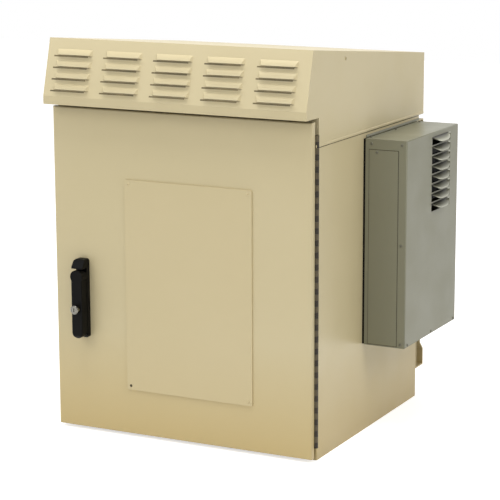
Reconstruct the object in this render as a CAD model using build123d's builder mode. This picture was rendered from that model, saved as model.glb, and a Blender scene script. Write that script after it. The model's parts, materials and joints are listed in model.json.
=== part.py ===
"""Roadside utility cabinet for outdoor telecom gear, with a wall-hung air conditioner.

Millimetres, +Z up. The origin is the centre of the body's base, the front looks
towards -Y, and the air conditioner hangs on the +X side.
"""
import os
from math import atan2, cos, degrees, hypot, pi, radians, sin, sqrt, tan

from build123d import *

os.makedirs("parts", exist_ok=True)

# Body: a folded sheet box with a drip lip round its door opening
BODY_W = 610.0
BODY_D = 540.0
BODY_H = 715.0
SHEET = 2.0
BEND_R = 3.0
POST_W = 30.0
TOP_RAIL_H = 32.0
SILL_H = 20.0
LIP_DEPTH = 15.0
LIP_FACE = 12.0
LIP_RETURN = 12.0
LIP_SHEET = 1.5

# Hood: a sloped sheet cap with five columns of four louvres
HOOD_SHEET = 2.0
HOOD_GAP = 0.1
HOOD_REACH = 58.0
HOOD_RIDGE_REACH = 26.0
HOOD_REAR_REACH = 19.0
HOOD_LIP_UP = 0.5
HOOD_SLOPE_UP = 18.0
HOOD_RIDGE_UP = 138.0
HOOD_REAR_UP = 80.0
HOOD_SIDE_DOWN = 58.0
HOOD_RETURN = 16.0
HOOD_LOUVRE_LENGTH = 86.0
HOOD_LOUVRE_HEIGHT = 13.0
HOOD_LOUVRE_RISE = 5.5
HOOD_LOUVRE_PITCH_X = 119.0
HOOD_LOUVRE_PITCH = 24.6
HOOD_LOUVRE_FIRST = 36.0
HOOD_LOUVRE_COLUMNS = 5
HOOD_LOUVRE_ROWS = 4
HOOD_LOUVRE_SHIFT = -2.5

# Door: a pan with return flanges, hung on a full-height hinge
DOOR_PAN_DEPTH = 13.7
DOOR_SHEET = 2.0
DOOR_SIDE_SHIFT = -0.5
DOOR_BOTTOM_Z = 7.0
DOOR_TOP_DOWN = 7.0
DOOR_EDGE_R = 3.5
DOOR_FLANGE_SIDE = 24.0
DOOR_FLANGE_TOP = 18.0
DOOR_FLANGE_BOTTOM = 9.0
GASKET_W = 33.0
GASKET_T = 8.2
GASKET_HINGE_INSET = 25.5
GASKET_LATCH_INSET = 9.5
PIN_X = (-102.0, 157.0)
PIN_Z = (140.0, 334.0, 525.0)
PIN_DISC_R = 12.0
PIN_DISC_T = 1.0
PIN_R = 1.5
DOOR_FOAM_T = 10.0
DOOR_FOAM_GAP = 3.0

# Hinge: two knuckled leaves on one pin
HINGE_R = 5.5
HINGE_PIN_R = 2.4
HINGE_FIT = 0.1
HINGE_LEAF_T = 1.5
HINGE_LEAF_W = 24.0
HINGE_BOTTOM_Z = 29.0
HINGE_TOP_DOWN = 34.0
HINGE_PITCH = 25.0
HINGE_GAP = 0.5
HINGE_BACK_GAP = 0.5
HINGE_DOOR_GAP = 0.3

# Plate on the door
PLATE_W = 300.0
PLATE_H = 456.0
PLATE_T = 3.0
PLATE_X = 20.0
PLATE_BOTTOM_Z = 106.0
PLATE_CORNER_R = 4.0
RIVET_R = 3.0
RIVET_T = 1.4
RIVET_INSET = 9.0

# Swing handle and its lock
HANDLE_INSET = 70.0
HANDLE_W = 27.0
HANDLE_BASE_T = 11.5
HANDLE_BASE_BOTTOM_Z = 211.5
HANDLE_BASE_TOP_Z = 384.0
HANDLE_HUMP_T = 30.0
SPINDLE_Z = 348.0
SPINDLE_R = 6.0
SHAFT_FIT = 0.1
GRIP_HEAD_R = 14.5
GRIP_T = 7.5
GRIP_BACK_GAP = 0.5
GRIP_HEAD_GAP = 2.5
GRIP_BOTTOM_Z = 213.0
GRIP_TONGUE_W = 8.0
GRIP_TONGUE_R = 5.5
GRIP_PIN_R = 2.0
LOCK_Z = 278.0
LOCK_R = 9.5
LOCK_FACE_OUT = 11.0

# Rod latch: a pinion drives two racks, with a roller on each rod
GEAR_MODULE = 1.5
GEAR_TEETH = 20
GEAR_T = 7.0
GEAR_BACKLASH = 0.5
PRESSURE_ANGLE = 20.0
LATCH_TURN = 90.0
ROLLER_R = 17.5
ROLLER_W = 13.0
ROLLER_GAP = 0.6
ROLLER_LIP_GAP = 0.3
ROLLER_TOP_DOWN = 55.0
ROLLER_BOTTOM_Z = 44.0
ROLLER_AXLE_R = 4.0
ROD_R = 3.5
ROD_END_INSET = 69.0
ROD_EYE_INSET = 73.0
ROD_EYE_R = 9.0
ROD_EYE_W = 14.0
LATCH_WALL = 2.5
LATCH_HALF_W = 25.0
LATCH_HALF_H = 43.0
LATCH_SIDE_GAP = 0.5
RACK_BACK_GAP = 0.3
RACK_SPARE = 8.0
RACK_ROD_SPARE = 17.5
GUIDE_T = 2.5
GUIDE_HALF_W = 12.0
GUIDE_FOOT = 16.0
GUIDE_UPPER_DOWN = 115.0
GUIDE_LOWER_Z = 98.0
GUIDE_GAP = 0.5
ROD_BEND_SHARES = (0.263, 0.68)
ROD_BEND_R = 60.0
COVER_INSET = 43.0
COVER_W = 45.0
COVER_Z0 = 216.0
COVER_Z1 = 283.0
COVER_OUT = 18.0
COVER_SHEET = 2.0

# Door stay: a rod that runs along a slotted channel on the door
STAY_INSET = 94.0
STAY_IN = 32.0
STAY_Z = 43.0
STAY_R = 3.0
STAY_EYE_T = 5.0
STAY_GAP = 0.3
STAY_EYE_R = 7.0
STAY_END_R = 6.0
STAY_END_PIN_R = 2.5
STAY_PIN_R = 2.9
STAY_PIN_FIT = 0.1
STAY_ARM = 172.0
STAY_TRACK_OUT = 35.5
STAY_CHANNEL_INSET = 152.0
STAY_CHANNEL_LENGTH = 250.0
STAY_CHANNEL_Z0 = 49.0
STAY_CHANNEL_Z1 = 88.0
STAY_CHANNEL_OUT = 41.0
STAY_SHEET = 2.0
STAY_SLOT_W = 7.0
DOOR_OPEN = 119.3

# Lining inside the body
LINING_T = 12.0
LINING_GAP = 1.0

# Equipment rails, on hat brackets
RAIL_OPENING = 450.0
RAIL_FACE_W = 32.0
RAIL_DEPTH = 42.0
RAIL_SHEET = 2.0
RAIL_IN = 60.0
RAIL_BOTTOM_Z = 105.0
RAIL_TOP_DOWN = 51.0
RAIL_UNIT = 44.45
RAIL_UNITS = 12
RAIL_HOLE = 9.0
RAIL_HOLE_SPACING = 465.1
BRACKET_IN0 = 21.0
BRACKET_IN1 = 212.0
BRACKET_H = 44.0
BRACKET_FLANGE = 20.0
BRACKET_SHEET = 2.5
BRACKET_LOW_Z = 233.0
BRACKET_HIGH_DOWN = 178.0
BRACKET_HOLES = 3
BRACKET_HOLE_R = 3.5

# Bars and small fittings inside
WALL_BAR_IN0 = 14.0
WALL_BAR_IN1 = 396.0
WALL_BAR_Z0 = 155.0
BAR_H = 25.0
BAR_T = 3.0
BACK_BAR_HALF_W = 180.0
BACK_BAR_Z0 = 58.0
WALL_STRAP_IN0 = 452.0
WALL_STRAP_W = 24.0
WALL_STRAP_Z0 = 239.0
WALL_STRAP_DOWN = 83.0
GROUND_STANDOFF = 29.0
GROUND_T = 6.0
GROUND_IN0 = 12.0
GROUND_IN1 = 390.0
GROUND_Z0 = 48.0
GROUND_Z1 = 82.0
GROUND_SCREWS = 19
GROUND_SCREW_R = 4.0
GROUND_SCREW_H = 4.0
GROUND_CAP_L = 50.0
INSULATOR_R = 9.0
OUTLET_X0 = -185.0
OUTLET_X1 = -71.0
OUTLET_IN = 30.0
OUTLET_D = 57.0
OUTLET_H = 68.0
OUTLET_SHEET = 1.5
OUTLET_HOLE_R = 5.0

# Mounting bars across the back, and their bolts
MOUNT_SHEET = 3.0
MOUNT_NARROW = 25.0
MOUNT_WIDE = 43.0
MOUNT_STEP = 18.0
MOUNT_UPPER_DOWN = 70.0
MOUNT_UPPER_H = 92.0
MOUNT_LOWER_Z0 = 65.0
MOUNT_LOWER_Z1 = 168.0
MOUNT_NARROW_UPPER = 36.0
MOUNT_NARROW_LOWER = 46.0
MOUNT_HOLE_R = 6.5
MOUNT_HOLE_INSET = 51.0
MOUNT_HOLE_UP = 28.0
BOLT_R = 5.0
BOLT_INSETS = (67.0, 233.0)
BOLT_UPPER_DOWN = 101.0
BOLT_LOWER_Z = 127.0
BOLT_HEAD_R = 9.0
BOLT_HEAD_T = 6.5
WASHER_R = 15.0
WASHER_T = 2.0
BOLT_HOLE_GAP = 0.5

# Air conditioner on the +X wall
AC_IN0 = 228.0
AC_IN1 = 524.0
AC_DOWN = 71.0
AC_H = 448.0
AC_OUT = 100.0
AC_GASKET_T = 5.0
AC_GASKET_W = 16.0
AC_SHEET = 1.5
AC_PLATE_T = 2.0
AC_BEND_R = 2.5
AC_BLADE_COUNT = 8
AC_BLADE_LENGTH = 107.0
AC_BLADE_PITCH = 20.8
AC_BLADE_SLOT = 18.0
AC_BLADE_REACH = 16.6
AC_BLADE_DROP = 9.4
AC_BLADE_TAPER = 8.3
AC_BLADE_IN = 422.7
AC_BLADE_UP = 438.0
AC_VENT_IN0 = 247.0
AC_VENT_IN1 = 368.0
AC_VENT_UP0 = 312.0
AC_VENT_UP1 = 426.0
AC_HATCH_IN0 = 260.0
AC_HATCH_IN1 = 392.0
AC_HATCH_UP0 = 25.0
AC_HATCH_UP1 = 250.0
AC_PANEL_X0 = 14.0
AC_PANEL_X1 = 80.0
AC_PANEL_UP = 425.0
AC_PANEL_T = 1.0
AC_BOLT_IN = (235.0, 517.0)
AC_BOLT_UP = (23.0, 215.0, 410.0)
AC_BOLT_R = 3.0
AC_NUT_R = 6.5
AC_NUT_T = 5.0
GRILLE_SLATS = 9
FAN_FRAME = 108.0
FAN_T = 34.0
FAN_R = 50.0
FAN_TIP_GAP = 1.5
FAN_HUB_R = 18.0
FAN_BLADES = 5
FAN_BLADE_PITCH = 50.0
FAN_SHAFT_R = 3.0
FAN_IN_COLD = 308.0
FAN_UP_COLD = 366.0
FAN_IN_WARM = 422.7
FAN_UP_WARM = 356.0
COIL_T = 22.0
COIL_FINS = 13
COMPRESSOR_R = 34.0
COMPRESSOR_H = 130.0

AC_CORD_IN = 285.0
AC_CORD_UP = 234.0
AC_SCREW_IN = (242.0, 377.5, 513.0)
AC_FRONT_SCREWS = ((19.0, 438.0), (88.0, 438.0), (88.0, 224.0), (89.0, 8.0))
AC_PANEL_SCREW = 31.5
AC_STACK_GAP = 0.3
AC_PARTITION_IN = 364.5
FAN_ARM = 5.0
FAN_MOTOR_T = 10.0
COMPRESSOR_IN = 448.0

# Screws with plain pan heads
SCREW_HEAD_R = 4.0
SCREW_HEAD_T = 2.0
SMALL_HEAD_R = 3.0
SMALL_HEAD_T = 1.8

TOP_RAIL_SCREW_INSETS = (88.0, 310.0, 530.0)
HOOD_SCREW_IN = 129.0
HOOD_SCREW_UP = 107.0

# Supply lead: its radius, its relief and the hank that it is tied into
CORD_R = 3.5
RELIEF_L = 26.0
RELIEF_R = 8.0
RELIEF_FLANGE_R = 11.0
RELIEF_FLANGE_T = 4.0
HANK_IN = 322.0
HANK_TOP_UP = 139.0
HANK_BOTTOM_UP = 30.0
HANK_R = 52.0
HANK_NECK_R = 11.0
HANK_T = 26.0
PLUG_L = 40.0
PLUG_R = 13.0

# Derived planes and edges
HALF_W = BODY_W / 2
FRONT = -BODY_D / 2
REAR = BODY_D / 2
INNER_X = HALF_W - SHEET
INNER_REAR = REAR - SHEET
ROOF_IN_Z = BODY_H - SHEET
LINER_X = INNER_X - LINING_T
LINER_REAR = INNER_REAR - LINING_T
LIP_OUT_X = HALF_W - POST_W
LIP_IN_X = LIP_OUT_X - LIP_FACE
LIP_OUT_Z0 = SILL_H
LIP_OUT_Z1 = BODY_H - TOP_RAIL_H
LIP_IN_Z0 = LIP_OUT_Z0 + LIP_FACE
LIP_IN_Z1 = LIP_OUT_Z1 - LIP_FACE
LIP_Y = FRONT - LIP_DEPTH
HINGE_X = HALF_W
HINGE_Y = FRONT - HINGE_R - HINGE_BACK_GAP
DOOR_BACK_Y = HINGE_Y - HINGE_R - HINGE_DOOR_GAP
DOOR_Y = DOOR_BACK_Y - DOOR_PAN_DEPTH
PAN_Y = DOOR_Y + DOOR_SHEET
DOOR_X0 = -HALF_W + DOOR_SIDE_SHIFT
DOOR_X1 = HALF_W + DOOR_SIDE_SHIFT
DOOR_TOP_Z = BODY_H - DOOR_TOP_DOWN
HINGE_TOP_Z = BODY_H - HINGE_TOP_DOWN
HOOD_LIP_Z = BODY_H + HOOD_LIP_UP
HOOD_SLOPE_Z = BODY_H + HOOD_SLOPE_UP
HOOD_RIDGE_Z = BODY_H + HOOD_RIDGE_UP
HOOD_REAR_Z = BODY_H + HOOD_REAR_UP
HOOD_SIDE_Z = BODY_H - HOOD_SIDE_DOWN
HOOD_X = HALF_W + HOOD_GAP + HOOD_SHEET
HOOD_FRONT = FRONT - HOOD_REACH
HOOD_REAR = REAR + HOOD_REAR_REACH
RIDGE_Y = FRONT - HOOD_RIDGE_REACH
BRACKET_Z = (BRACKET_LOW_Z, BODY_H - BRACKET_HIGH_DOWN)
WALL_STRAP_Z1 = BODY_H - WALL_STRAP_DOWN
MOUNT_UPPER_Z1 = BODY_H - MOUNT_UPPER_DOWN
MOUNT_UPPER_Z0 = MOUNT_UPPER_Z1 - MOUNT_UPPER_H
BOLT_UPPER_Z = BODY_H - BOLT_UPPER_DOWN
AC_Z1 = BODY_H - AC_DOWN
AC_Z0 = AC_Z1 - AC_H
AC_BLADE_TOP_Z = AC_Z0 + AC_BLADE_UP
AC_VENT_Z0 = AC_Z0 + AC_VENT_UP0
AC_VENT_Z1 = AC_Z0 + AC_VENT_UP1
AC_HATCH_Z0 = AC_Z0 + AC_HATCH_UP0
AC_HATCH_Z1 = AC_Z0 + AC_HATCH_UP1
AC_PANEL_Z1 = AC_Z0 + AC_PANEL_UP
AC_BOLT_Z = [AC_Z0 + up for up in AC_BOLT_UP]
FAN_Z_COLD = AC_Z0 + FAN_UP_COLD
FAN_Z_WARM = AC_Z0 + FAN_UP_WARM
AC_CORD_Z = AC_Z0 + AC_CORD_UP
HANK_TOP_Z = AC_Z0 + HANK_TOP_UP
HANK_BOTTOM_Z = AC_Z0 + HANK_BOTTOM_UP
AC_X0 = HALF_W + AC_GASKET_T
AC_X1 = HALF_W + AC_OUT
AC_Y0 = FRONT + AC_IN0
AC_Y1 = FRONT + AC_IN1
HANDLE_X = -HALF_W + HANDLE_INSET
COVER_X0 = -HALF_W + COVER_INSET
COVER_X1 = COVER_X0 + COVER_W
ROD_END_X = -HALF_W + ROD_END_INSET
ROD_EYE_X = -HALF_W + ROD_EYE_INSET
ROLLER_TOP_Z = BODY_H - ROLLER_TOP_DOWN
GUIDE_UPPER_Z = BODY_H - GUIDE_UPPER_DOWN
STAY_X = HALF_W - STAY_INSET
STAY_DOOR_X = HALF_W - STAY_ARM
STAY_CHANNEL_X1 = HALF_W - STAY_CHANNEL_INSET
STAY_CHANNEL_X0 = STAY_CHANNEL_X1 - STAY_CHANNEL_LENGTH
RAIL_TOP_Z = BODY_H - RAIL_TOP_DOWN
GROUND_X = LINER_X - GROUND_STANDOFF
MOUNT_HOLE_X = HALF_W - MOUNT_HOLE_INSET
GEAR_R = GEAR_MODULE * GEAR_TEETH / 2
ROD_TRAVEL = GEAR_R * radians(LATCH_TURN)
ROLLER_Y = FRONT - LIP_DEPTH + LIP_RETURN + ROLLER_LIP_GAP + ROLLER_R
BASE_FACE_Y = DOOR_Y - HANDLE_BASE_T
GRIP_PIVOT_Y = BASE_FACE_Y - GRIP_BACK_GAP - GRIP_HEAD_R
GRIP_FACE_Y = GRIP_PIVOT_Y - GRIP_T
STAY_Y = FRONT + STAY_IN
STAY_TRACK_Y = PAN_Y + STAY_TRACK_OUT


def finish(piece, label):
    """Name a finished piece and write it to its own file."""
    piece.part.label = label
    export_step(piece.part, f"parts/{label}.step")


def block(x, y, z, mode=Mode.ADD):
    """A plain block between two corners, given as three ranges."""
    with Locations(((x[0] + x[1]) / 2, (y[0] + y[1]) / 2, (z[0] + z[1]) / 2)):
        Box(x[1] - x[0], y[1] - y[0], z[1] - z[0], mode=mode)


def frame_ring(x, z, width, y0, y1):
    """A rectangular ring of constant width, facing the front, between two depths."""
    with BuildSketch(Plane.XZ.offset(-y1)) as ring:
        with Locations(((x[0] + x[1]) / 2, (z[0] + z[1]) / 2)):
            Rectangle(x[1] - x[0], z[1] - z[0])
            Rectangle(x[1] - x[0] - 2 * width, z[1] - z[0] - 2 * width, mode=Mode.SUBTRACT)
    extrude(ring.sketch, amount=y1 - y0)


def side_profile(points, x0, x1, mode=Mode.ADD):
    """A profile drawn in the side view as (y, z) points, pushed from x0 to x1."""
    with BuildSketch(Plane.YZ.offset(x0)) as profile:
        Polygon(*points, align=None)
    extrude(profile.sketch, amount=x1 - x0, mode=mode)


def pressed_louvre(length, height, rise, wall):
    """The skin and the void of one louvre, on XY, with its mouth along y = 0."""
    with BuildPart() as skin:
        with BuildSketch(Plane.YZ.offset(-length / 2)):
            with BuildLine():
                Line((0, -wall / 2), (0, rise))
                ThreePointArc((0, rise), (height * 0.55, rise * 0.62), (height, 0))
                Line((height, 0), (height, -wall / 2))
                Line((height, -wall / 2), (0, -wall / 2))
            make_face()
        extrude(amount=length)
        with BuildSketch(Plane.XZ.offset(1)):
            Polygon(
                (-length / 2, -wall),
                (-length / 2, 0),
                (-length / 2 + rise, rise),
                (length / 2 - rise, rise),
                (length / 2, 0),
                (length / 2, -wall),
                align=None,
            )
        extrude(amount=-height - 2, mode=Mode.INTERSECT)
    with BuildPart() as void:
        with BuildSketch(Plane.YZ.offset(-length / 2 + wall)):
            Polygon(
                (-1, 0),
                (-1, rise - wall),
                (0, rise - wall),
                (height * 0.55, rise * 0.62 - wall * 0.8),
                (height - wall * 1.6, -wall * 2),
                (0, -wall * 2),
                (0, 0),
                align=None,
            )
        extrude(amount=length - 2 * wall)
        with BuildSketch(Plane.XZ.offset(2)):
            Polygon(
                (-length / 2 + wall, -wall * 3),
                (-length / 2 + wall * 1.5, 0),
                (-length / 2 + rise, rise - wall),
                (length / 2 - rise, rise - wall),
                (length / 2 - wall * 1.5, 0),
                (length / 2 - wall, -wall * 3),
                align=None,
            )
        extrude(amount=-height - 4, mode=Mode.INTERSECT)
    return skin.part, void.part


def vent_blade(length, reach, drop, taper, wall):
    """One open-ended blade on XY: rooted along y = 0, it leans out to z = reach and down."""
    with BuildPart() as blade:
        with BuildSketch(Plane.YZ.offset(-length / 2)):
            with BuildLine():
                ThreePointArc((0, 0), (-drop * 0.62, reach * 0.44), (-drop, reach))
                Line((-drop, reach), (-drop - wall, reach - wall * 0.3))
                ThreePointArc(
                    (-drop - wall, reach - wall * 0.3),
                    (-drop * 0.62 - wall * 0.9, reach * 0.44 - wall * 0.6),
                    (-wall * 0.9, -wall),
                )
                Line((-wall * 0.9, -wall), (0, -wall))
                Line((0, -wall), (0, 0))
            make_face()
        extrude(amount=length)
        with BuildSketch(Plane.XZ):
            Polygon(
                (-length / 2, -wall),
                (-length / 2, 0),
                (-length / 2 + taper, reach + 1),
                (length / 2 - taper, reach + 1),
                (length / 2, 0),
                (length / 2, -wall),
                align=None,
            )
        extrude(amount=2 * drop, both=True, mode=Mode.INTERSECT)
    return blade.part


def involute_tooth(pitch_r, teeth, module, backlash):
    """Half of one gear tooth's outline as (radius, half angle) pairs, from root to tip."""
    base_r = pitch_r * cos(radians(PRESSURE_ANGLE))
    tip_r = pitch_r + 0.95 * module
    pitch_roll = tan(radians(PRESSURE_ANGLE)) - radians(PRESSURE_ANGLE)
    half_pitch = (pi * module / 2 - backlash) / (2 * pitch_r)
    outline = [(pitch_r - 1.2 * module, half_pitch + pitch_roll + 0.01)]
    for step in range(4):
        r = base_r + (tip_r - base_r) * step / 3 + 0.001
        roll = sqrt((r / base_r) ** 2 - 1)
        outline.append((r, half_pitch + pitch_roll - (roll - atan2(roll, 1))))
    return outline


def rack_points(first_z, last_z, pitch_x, back_x, module, backlash, phase_z):
    """The outline of a rack whose teeth face away from back_x, as (x, z) points."""
    side = 1 if pitch_x > back_x else -1
    pitch = pi * module
    half_flat = (pitch / 2 - backlash) / 2
    lean = tan(radians(PRESSURE_ANGLE))
    tip_x = pitch_x + side * 0.9 * module
    root_x = pitch_x - side * 1.2 * module
    points = [(back_x, first_z), (root_x, first_z)]
    number = -40
    while number < 40:
        centre = phase_z + number * pitch
        low = centre - half_flat - lean * 1.2 * module
        high = centre + half_flat + lean * 1.2 * module
        if low > first_z and high < last_z:
            points.append((root_x, low))
            points.append((tip_x, centre - half_flat + lean * 0.9 * module))
            points.append((tip_x, centre + half_flat - lean * 0.9 * module))
            points.append((root_x, high))
        number += 1
    points.append((root_x, last_z))
    points.append((back_x, last_z))
    return points


def screw_head(plane, radius=SCREW_HEAD_R, height=SCREW_HEAD_T):
    """A domed screw head that sits on the given plane."""
    with BuildSketch(plane) as outline:
        Circle(radius)
    extrude(outline.sketch, amount=height, taper=25)


ac_vents = (
    ((FRONT + AC_VENT_IN0, FRONT + AC_VENT_IN1), (AC_VENT_Z0, AC_VENT_Z1)),
    ((FRONT + AC_HATCH_IN0, FRONT + AC_HATCH_IN1), (AC_HATCH_Z0, AC_HATCH_Z1)),
)
bolt_x_all = [side * (HALF_W - inset) for side in (-1, 1) for inset in BOLT_INSETS]
back_bolt_spots = [(x, REAR, z) for x in bolt_x_all for z in (BOLT_UPPER_Z, BOLT_LOWER_Z)]
ac_bolt_spots = [(HALF_W, FRONT + inset, z) for inset in AC_BOLT_IN for z in AC_BOLT_Z]

# Body shell: floor, walls, flat roof and front frame in one folded box
with BuildPart() as body_shell:
    with BuildSketch(Plane.XY):
        RectangleRounded(BODY_W, BODY_D, BEND_R)
    extrude(amount=BODY_H)
    block((-INNER_X, INNER_X), (FRONT + SHEET, INNER_REAR), (SHEET, ROOF_IN_Z), Mode.SUBTRACT)
    block((-LIP_OUT_X, LIP_OUT_X), (FRONT - 1, FRONT + SHEET + 1), (LIP_OUT_Z0, LIP_OUT_Z1), Mode.SUBTRACT)
    frame_ring((-LIP_OUT_X, LIP_OUT_X), (LIP_OUT_Z0, LIP_OUT_Z1), LIP_SHEET, LIP_Y, FRONT + SHEET)
    frame_ring((-LIP_OUT_X, LIP_OUT_X), (LIP_OUT_Z0, LIP_OUT_Z1), LIP_FACE, LIP_Y, LIP_Y + LIP_SHEET)
    frame_ring(
        (-LIP_IN_X - LIP_SHEET, LIP_IN_X + LIP_SHEET),
        (LIP_IN_Z0 - LIP_SHEET, LIP_IN_Z1 + LIP_SHEET),
        LIP_SHEET,
        LIP_Y,
        LIP_Y + LIP_RETURN,
    )
    for vent_y, vent_z in ac_vents:
        block((INNER_X - 1, HALF_W + 1), vent_y, vent_z, Mode.SUBTRACT)
    with Locations(*back_bolt_spots):
        Cylinder(BOLT_R + BOLT_HOLE_GAP, 3 * SHEET, rotation=(90, 0, 0), mode=Mode.SUBTRACT)
    with Locations(*ac_bolt_spots):
        Cylinder(AC_BOLT_R + BOLT_HOLE_GAP, 3 * SHEET, rotation=(0, 90, 0), mode=Mode.SUBTRACT)
finish(body_shell, "body_shell")

# Hood: sloped roof, vented front slope, drip lip and side skirts
slope_angle = atan2(RIDGE_Y - HOOD_FRONT, HOOD_RIDGE_Z - HOOD_SLOPE_Z)
slope_plane = Plane(
    origin=(0, RIDGE_Y, HOOD_RIDGE_Z),
    x_dir=(1, 0, 0),
    z_dir=(0, -cos(slope_angle), sin(slope_angle)),
)
hood_skin, hood_void = pressed_louvre(HOOD_LOUVRE_LENGTH, HOOD_LOUVRE_HEIGHT, HOOD_LOUVRE_RISE, 1.5)
hood_spots = [
    (
        (column - (HOOD_LOUVRE_COLUMNS - 1) / 2) * HOOD_LOUVRE_PITCH_X + HOOD_LOUVRE_SHIFT,
        -HOOD_LOUVRE_FIRST - row * HOOD_LOUVRE_PITCH,
    )
    for column in range(HOOD_LOUVRE_COLUMNS)
    for row in range(HOOD_LOUVRE_ROWS)
]
with BuildPart() as hood:
    side_profile(
        [
            (HOOD_FRONT, HOOD_LIP_Z),
            (HOOD_FRONT, HOOD_SLOPE_Z),
            (RIDGE_Y, HOOD_RIDGE_Z),
            (HOOD_REAR, HOOD_REAR_Z),
            (HOOD_REAR, HOOD_SIDE_Z),
            (FRONT, HOOD_SIDE_Z),
            (FRONT, HOOD_LIP_Z),
        ],
        -HOOD_X,
        HOOD_X,
    )
    with BuildSketch(Plane.YZ.offset(-HOOD_X + HOOD_SHEET)):
        Polygon(
            (HOOD_FRONT, HOOD_SIDE_Z - 50),
            (HOOD_FRONT, HOOD_SLOPE_Z),
            (RIDGE_Y, HOOD_RIDGE_Z),
            (HOOD_REAR, HOOD_REAR_Z),
            (HOOD_REAR, HOOD_SIDE_Z - 50),
            align=None,
        )
        offset(amount=-HOOD_SHEET, kind=Kind.INTERSECTION)
    extrude(amount=2 * (HOOD_X - HOOD_SHEET), mode=Mode.SUBTRACT)
    block(
        (-HOOD_X + HOOD_SHEET / 2, HOOD_X - HOOD_SHEET / 2),
        (HOOD_FRONT + HOOD_SHEET / 2, HOOD_FRONT + HOOD_RETURN),
        (HOOD_LIP_Z, HOOD_LIP_Z + HOOD_SHEET),
    )
    for spot in hood_spots:
        add(slope_plane.location * Pos(spot[0], spot[1], 0) * hood_skin)
    for spot in hood_spots:
        add(slope_plane.location * Pos(spot[0], spot[1], 0) * hood_void, mode=Mode.SUBTRACT)
finish(hood, "hood")

# Lining: foil-faced blankets on the walls and the ceiling, cut out round what passes them
with BuildPart() as body_lining:
    block(
        (-INNER_X + LINING_GAP, INNER_X - LINING_GAP),
        (LINER_REAR, INNER_REAR),
        (SHEET + LINING_GAP, ROOF_IN_Z - LINING_T - LINING_GAP),
    )
    with Locations(*back_bolt_spots):
        Cylinder(BOLT_R + BOLT_HOLE_GAP, 3 * LINING_T, rotation=(90, 0, 0), mode=Mode.SUBTRACT)
    for side in (-1, 1):
        block(
            tuple(sorted((side * LINER_X, side * INNER_X))),
            (FRONT + SHEET + LINING_GAP, LINER_REAR - LINING_GAP),
            (SHEET + LINING_GAP, ROOF_IN_Z - LINING_T - LINING_GAP),
        )
    for vent_y, vent_z in ac_vents:
        block((LINER_X - 1, HALF_W), vent_y, vent_z, Mode.SUBTRACT)
    with Locations(*ac_bolt_spots):
        Cylinder(AC_BOLT_R + BOLT_HOLE_GAP, 3 * LINING_T, rotation=(0, 90, 0), mode=Mode.SUBTRACT)
    block(
        (-INNER_X + LINING_GAP, INNER_X - LINING_GAP),
        (FRONT + SHEET + LINING_GAP, INNER_REAR - LINING_GAP),
        (ROOF_IN_Z - LINING_T, ROOF_IN_Z),
    )
finish(body_lining, "body_lining")

# Hat brackets on both side walls carry the equipment rails
rail_outer_x = RAIL_OPENING / 2 + RAIL_FACE_W
with BuildPart() as rail_brackets:
    for side in (-1, 1):
        crown_x = side * rail_outer_x
        wall_x = side * LINER_X
        step = side * BRACKET_SHEET
        for centre_z in BRACKET_Z:
            low = centre_z - BRACKET_H / 2
            high = centre_z + BRACKET_H / 2
            with BuildSketch(Plane.XZ.offset(-FRONT - BRACKET_IN1)):
                Polygon(
                    (crown_x, low),
                    (crown_x, high),
                    (wall_x - step, high),
                    (wall_x - step, high + BRACKET_FLANGE),
                    (wall_x, high + BRACKET_FLANGE),
                    (wall_x, high - BRACKET_SHEET),
                    (crown_x + step, high - BRACKET_SHEET),
                    (crown_x + step, low + BRACKET_SHEET),
                    (wall_x, low + BRACKET_SHEET),
                    (wall_x, low - BRACKET_FLANGE),
                    (wall_x - step, low - BRACKET_FLANGE),
                    (wall_x - step, low),
                    align=None,
                )
            extrude(amount=BRACKET_IN1 - BRACKET_IN0)
            spacing = (BRACKET_IN1 - RAIL_IN - RAIL_DEPTH) / (BRACKET_HOLES + 1)
            with Locations(
                *[
                    (crown_x, FRONT + RAIL_IN + RAIL_DEPTH + spacing * (hole + 1), centre_z)
                    for hole in range(BRACKET_HOLES)
                ]
            ):
                Cylinder(BRACKET_HOLE_R, 4 * BRACKET_SHEET, rotation=(0, 90, 0), mode=Mode.SUBTRACT)
finish(rail_brackets, "rail_brackets")

# Equipment rails: folded angles with a square-holed face to the front
for side, name in ((-1, "left"), (1, "right")):
    crown_x = side * rail_outer_x
    with BuildPart() as rack_rail:
        with BuildSketch(Plane.XY.offset(RAIL_BOTTOM_Z)):
            Polygon(
                (side * RAIL_OPENING / 2, FRONT + RAIL_IN),
                (crown_x, FRONT + RAIL_IN),
                (crown_x, FRONT + RAIL_IN + RAIL_DEPTH),
                (crown_x - side * RAIL_SHEET, FRONT + RAIL_IN + RAIL_DEPTH),
                (crown_x - side * RAIL_SHEET, FRONT + RAIL_IN + RAIL_SHEET),
                (side * RAIL_OPENING / 2, FRONT + RAIL_IN + RAIL_SHEET),
                align=None,
            )
        extrude(amount=RAIL_TOP_Z - RAIL_BOTTOM_Z)
        hole_z = [
            (RAIL_BOTTOM_Z + RAIL_TOP_Z) / 2 + (unit - RAIL_UNITS / 2) * RAIL_UNIT + RAIL_UNIT * share
            for unit in range(RAIL_UNITS)
            for share in (1 / 7, 1 / 2, 6 / 7)
        ]
        with Locations(*[(side * RAIL_HOLE_SPACING / 2, FRONT + RAIL_IN, z) for z in hole_z]):
            Box(RAIL_HOLE, 4 * RAIL_SHEET, RAIL_HOLE, mode=Mode.SUBTRACT)
    finish(rack_rail, f"rack_rail_{name}")

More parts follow.
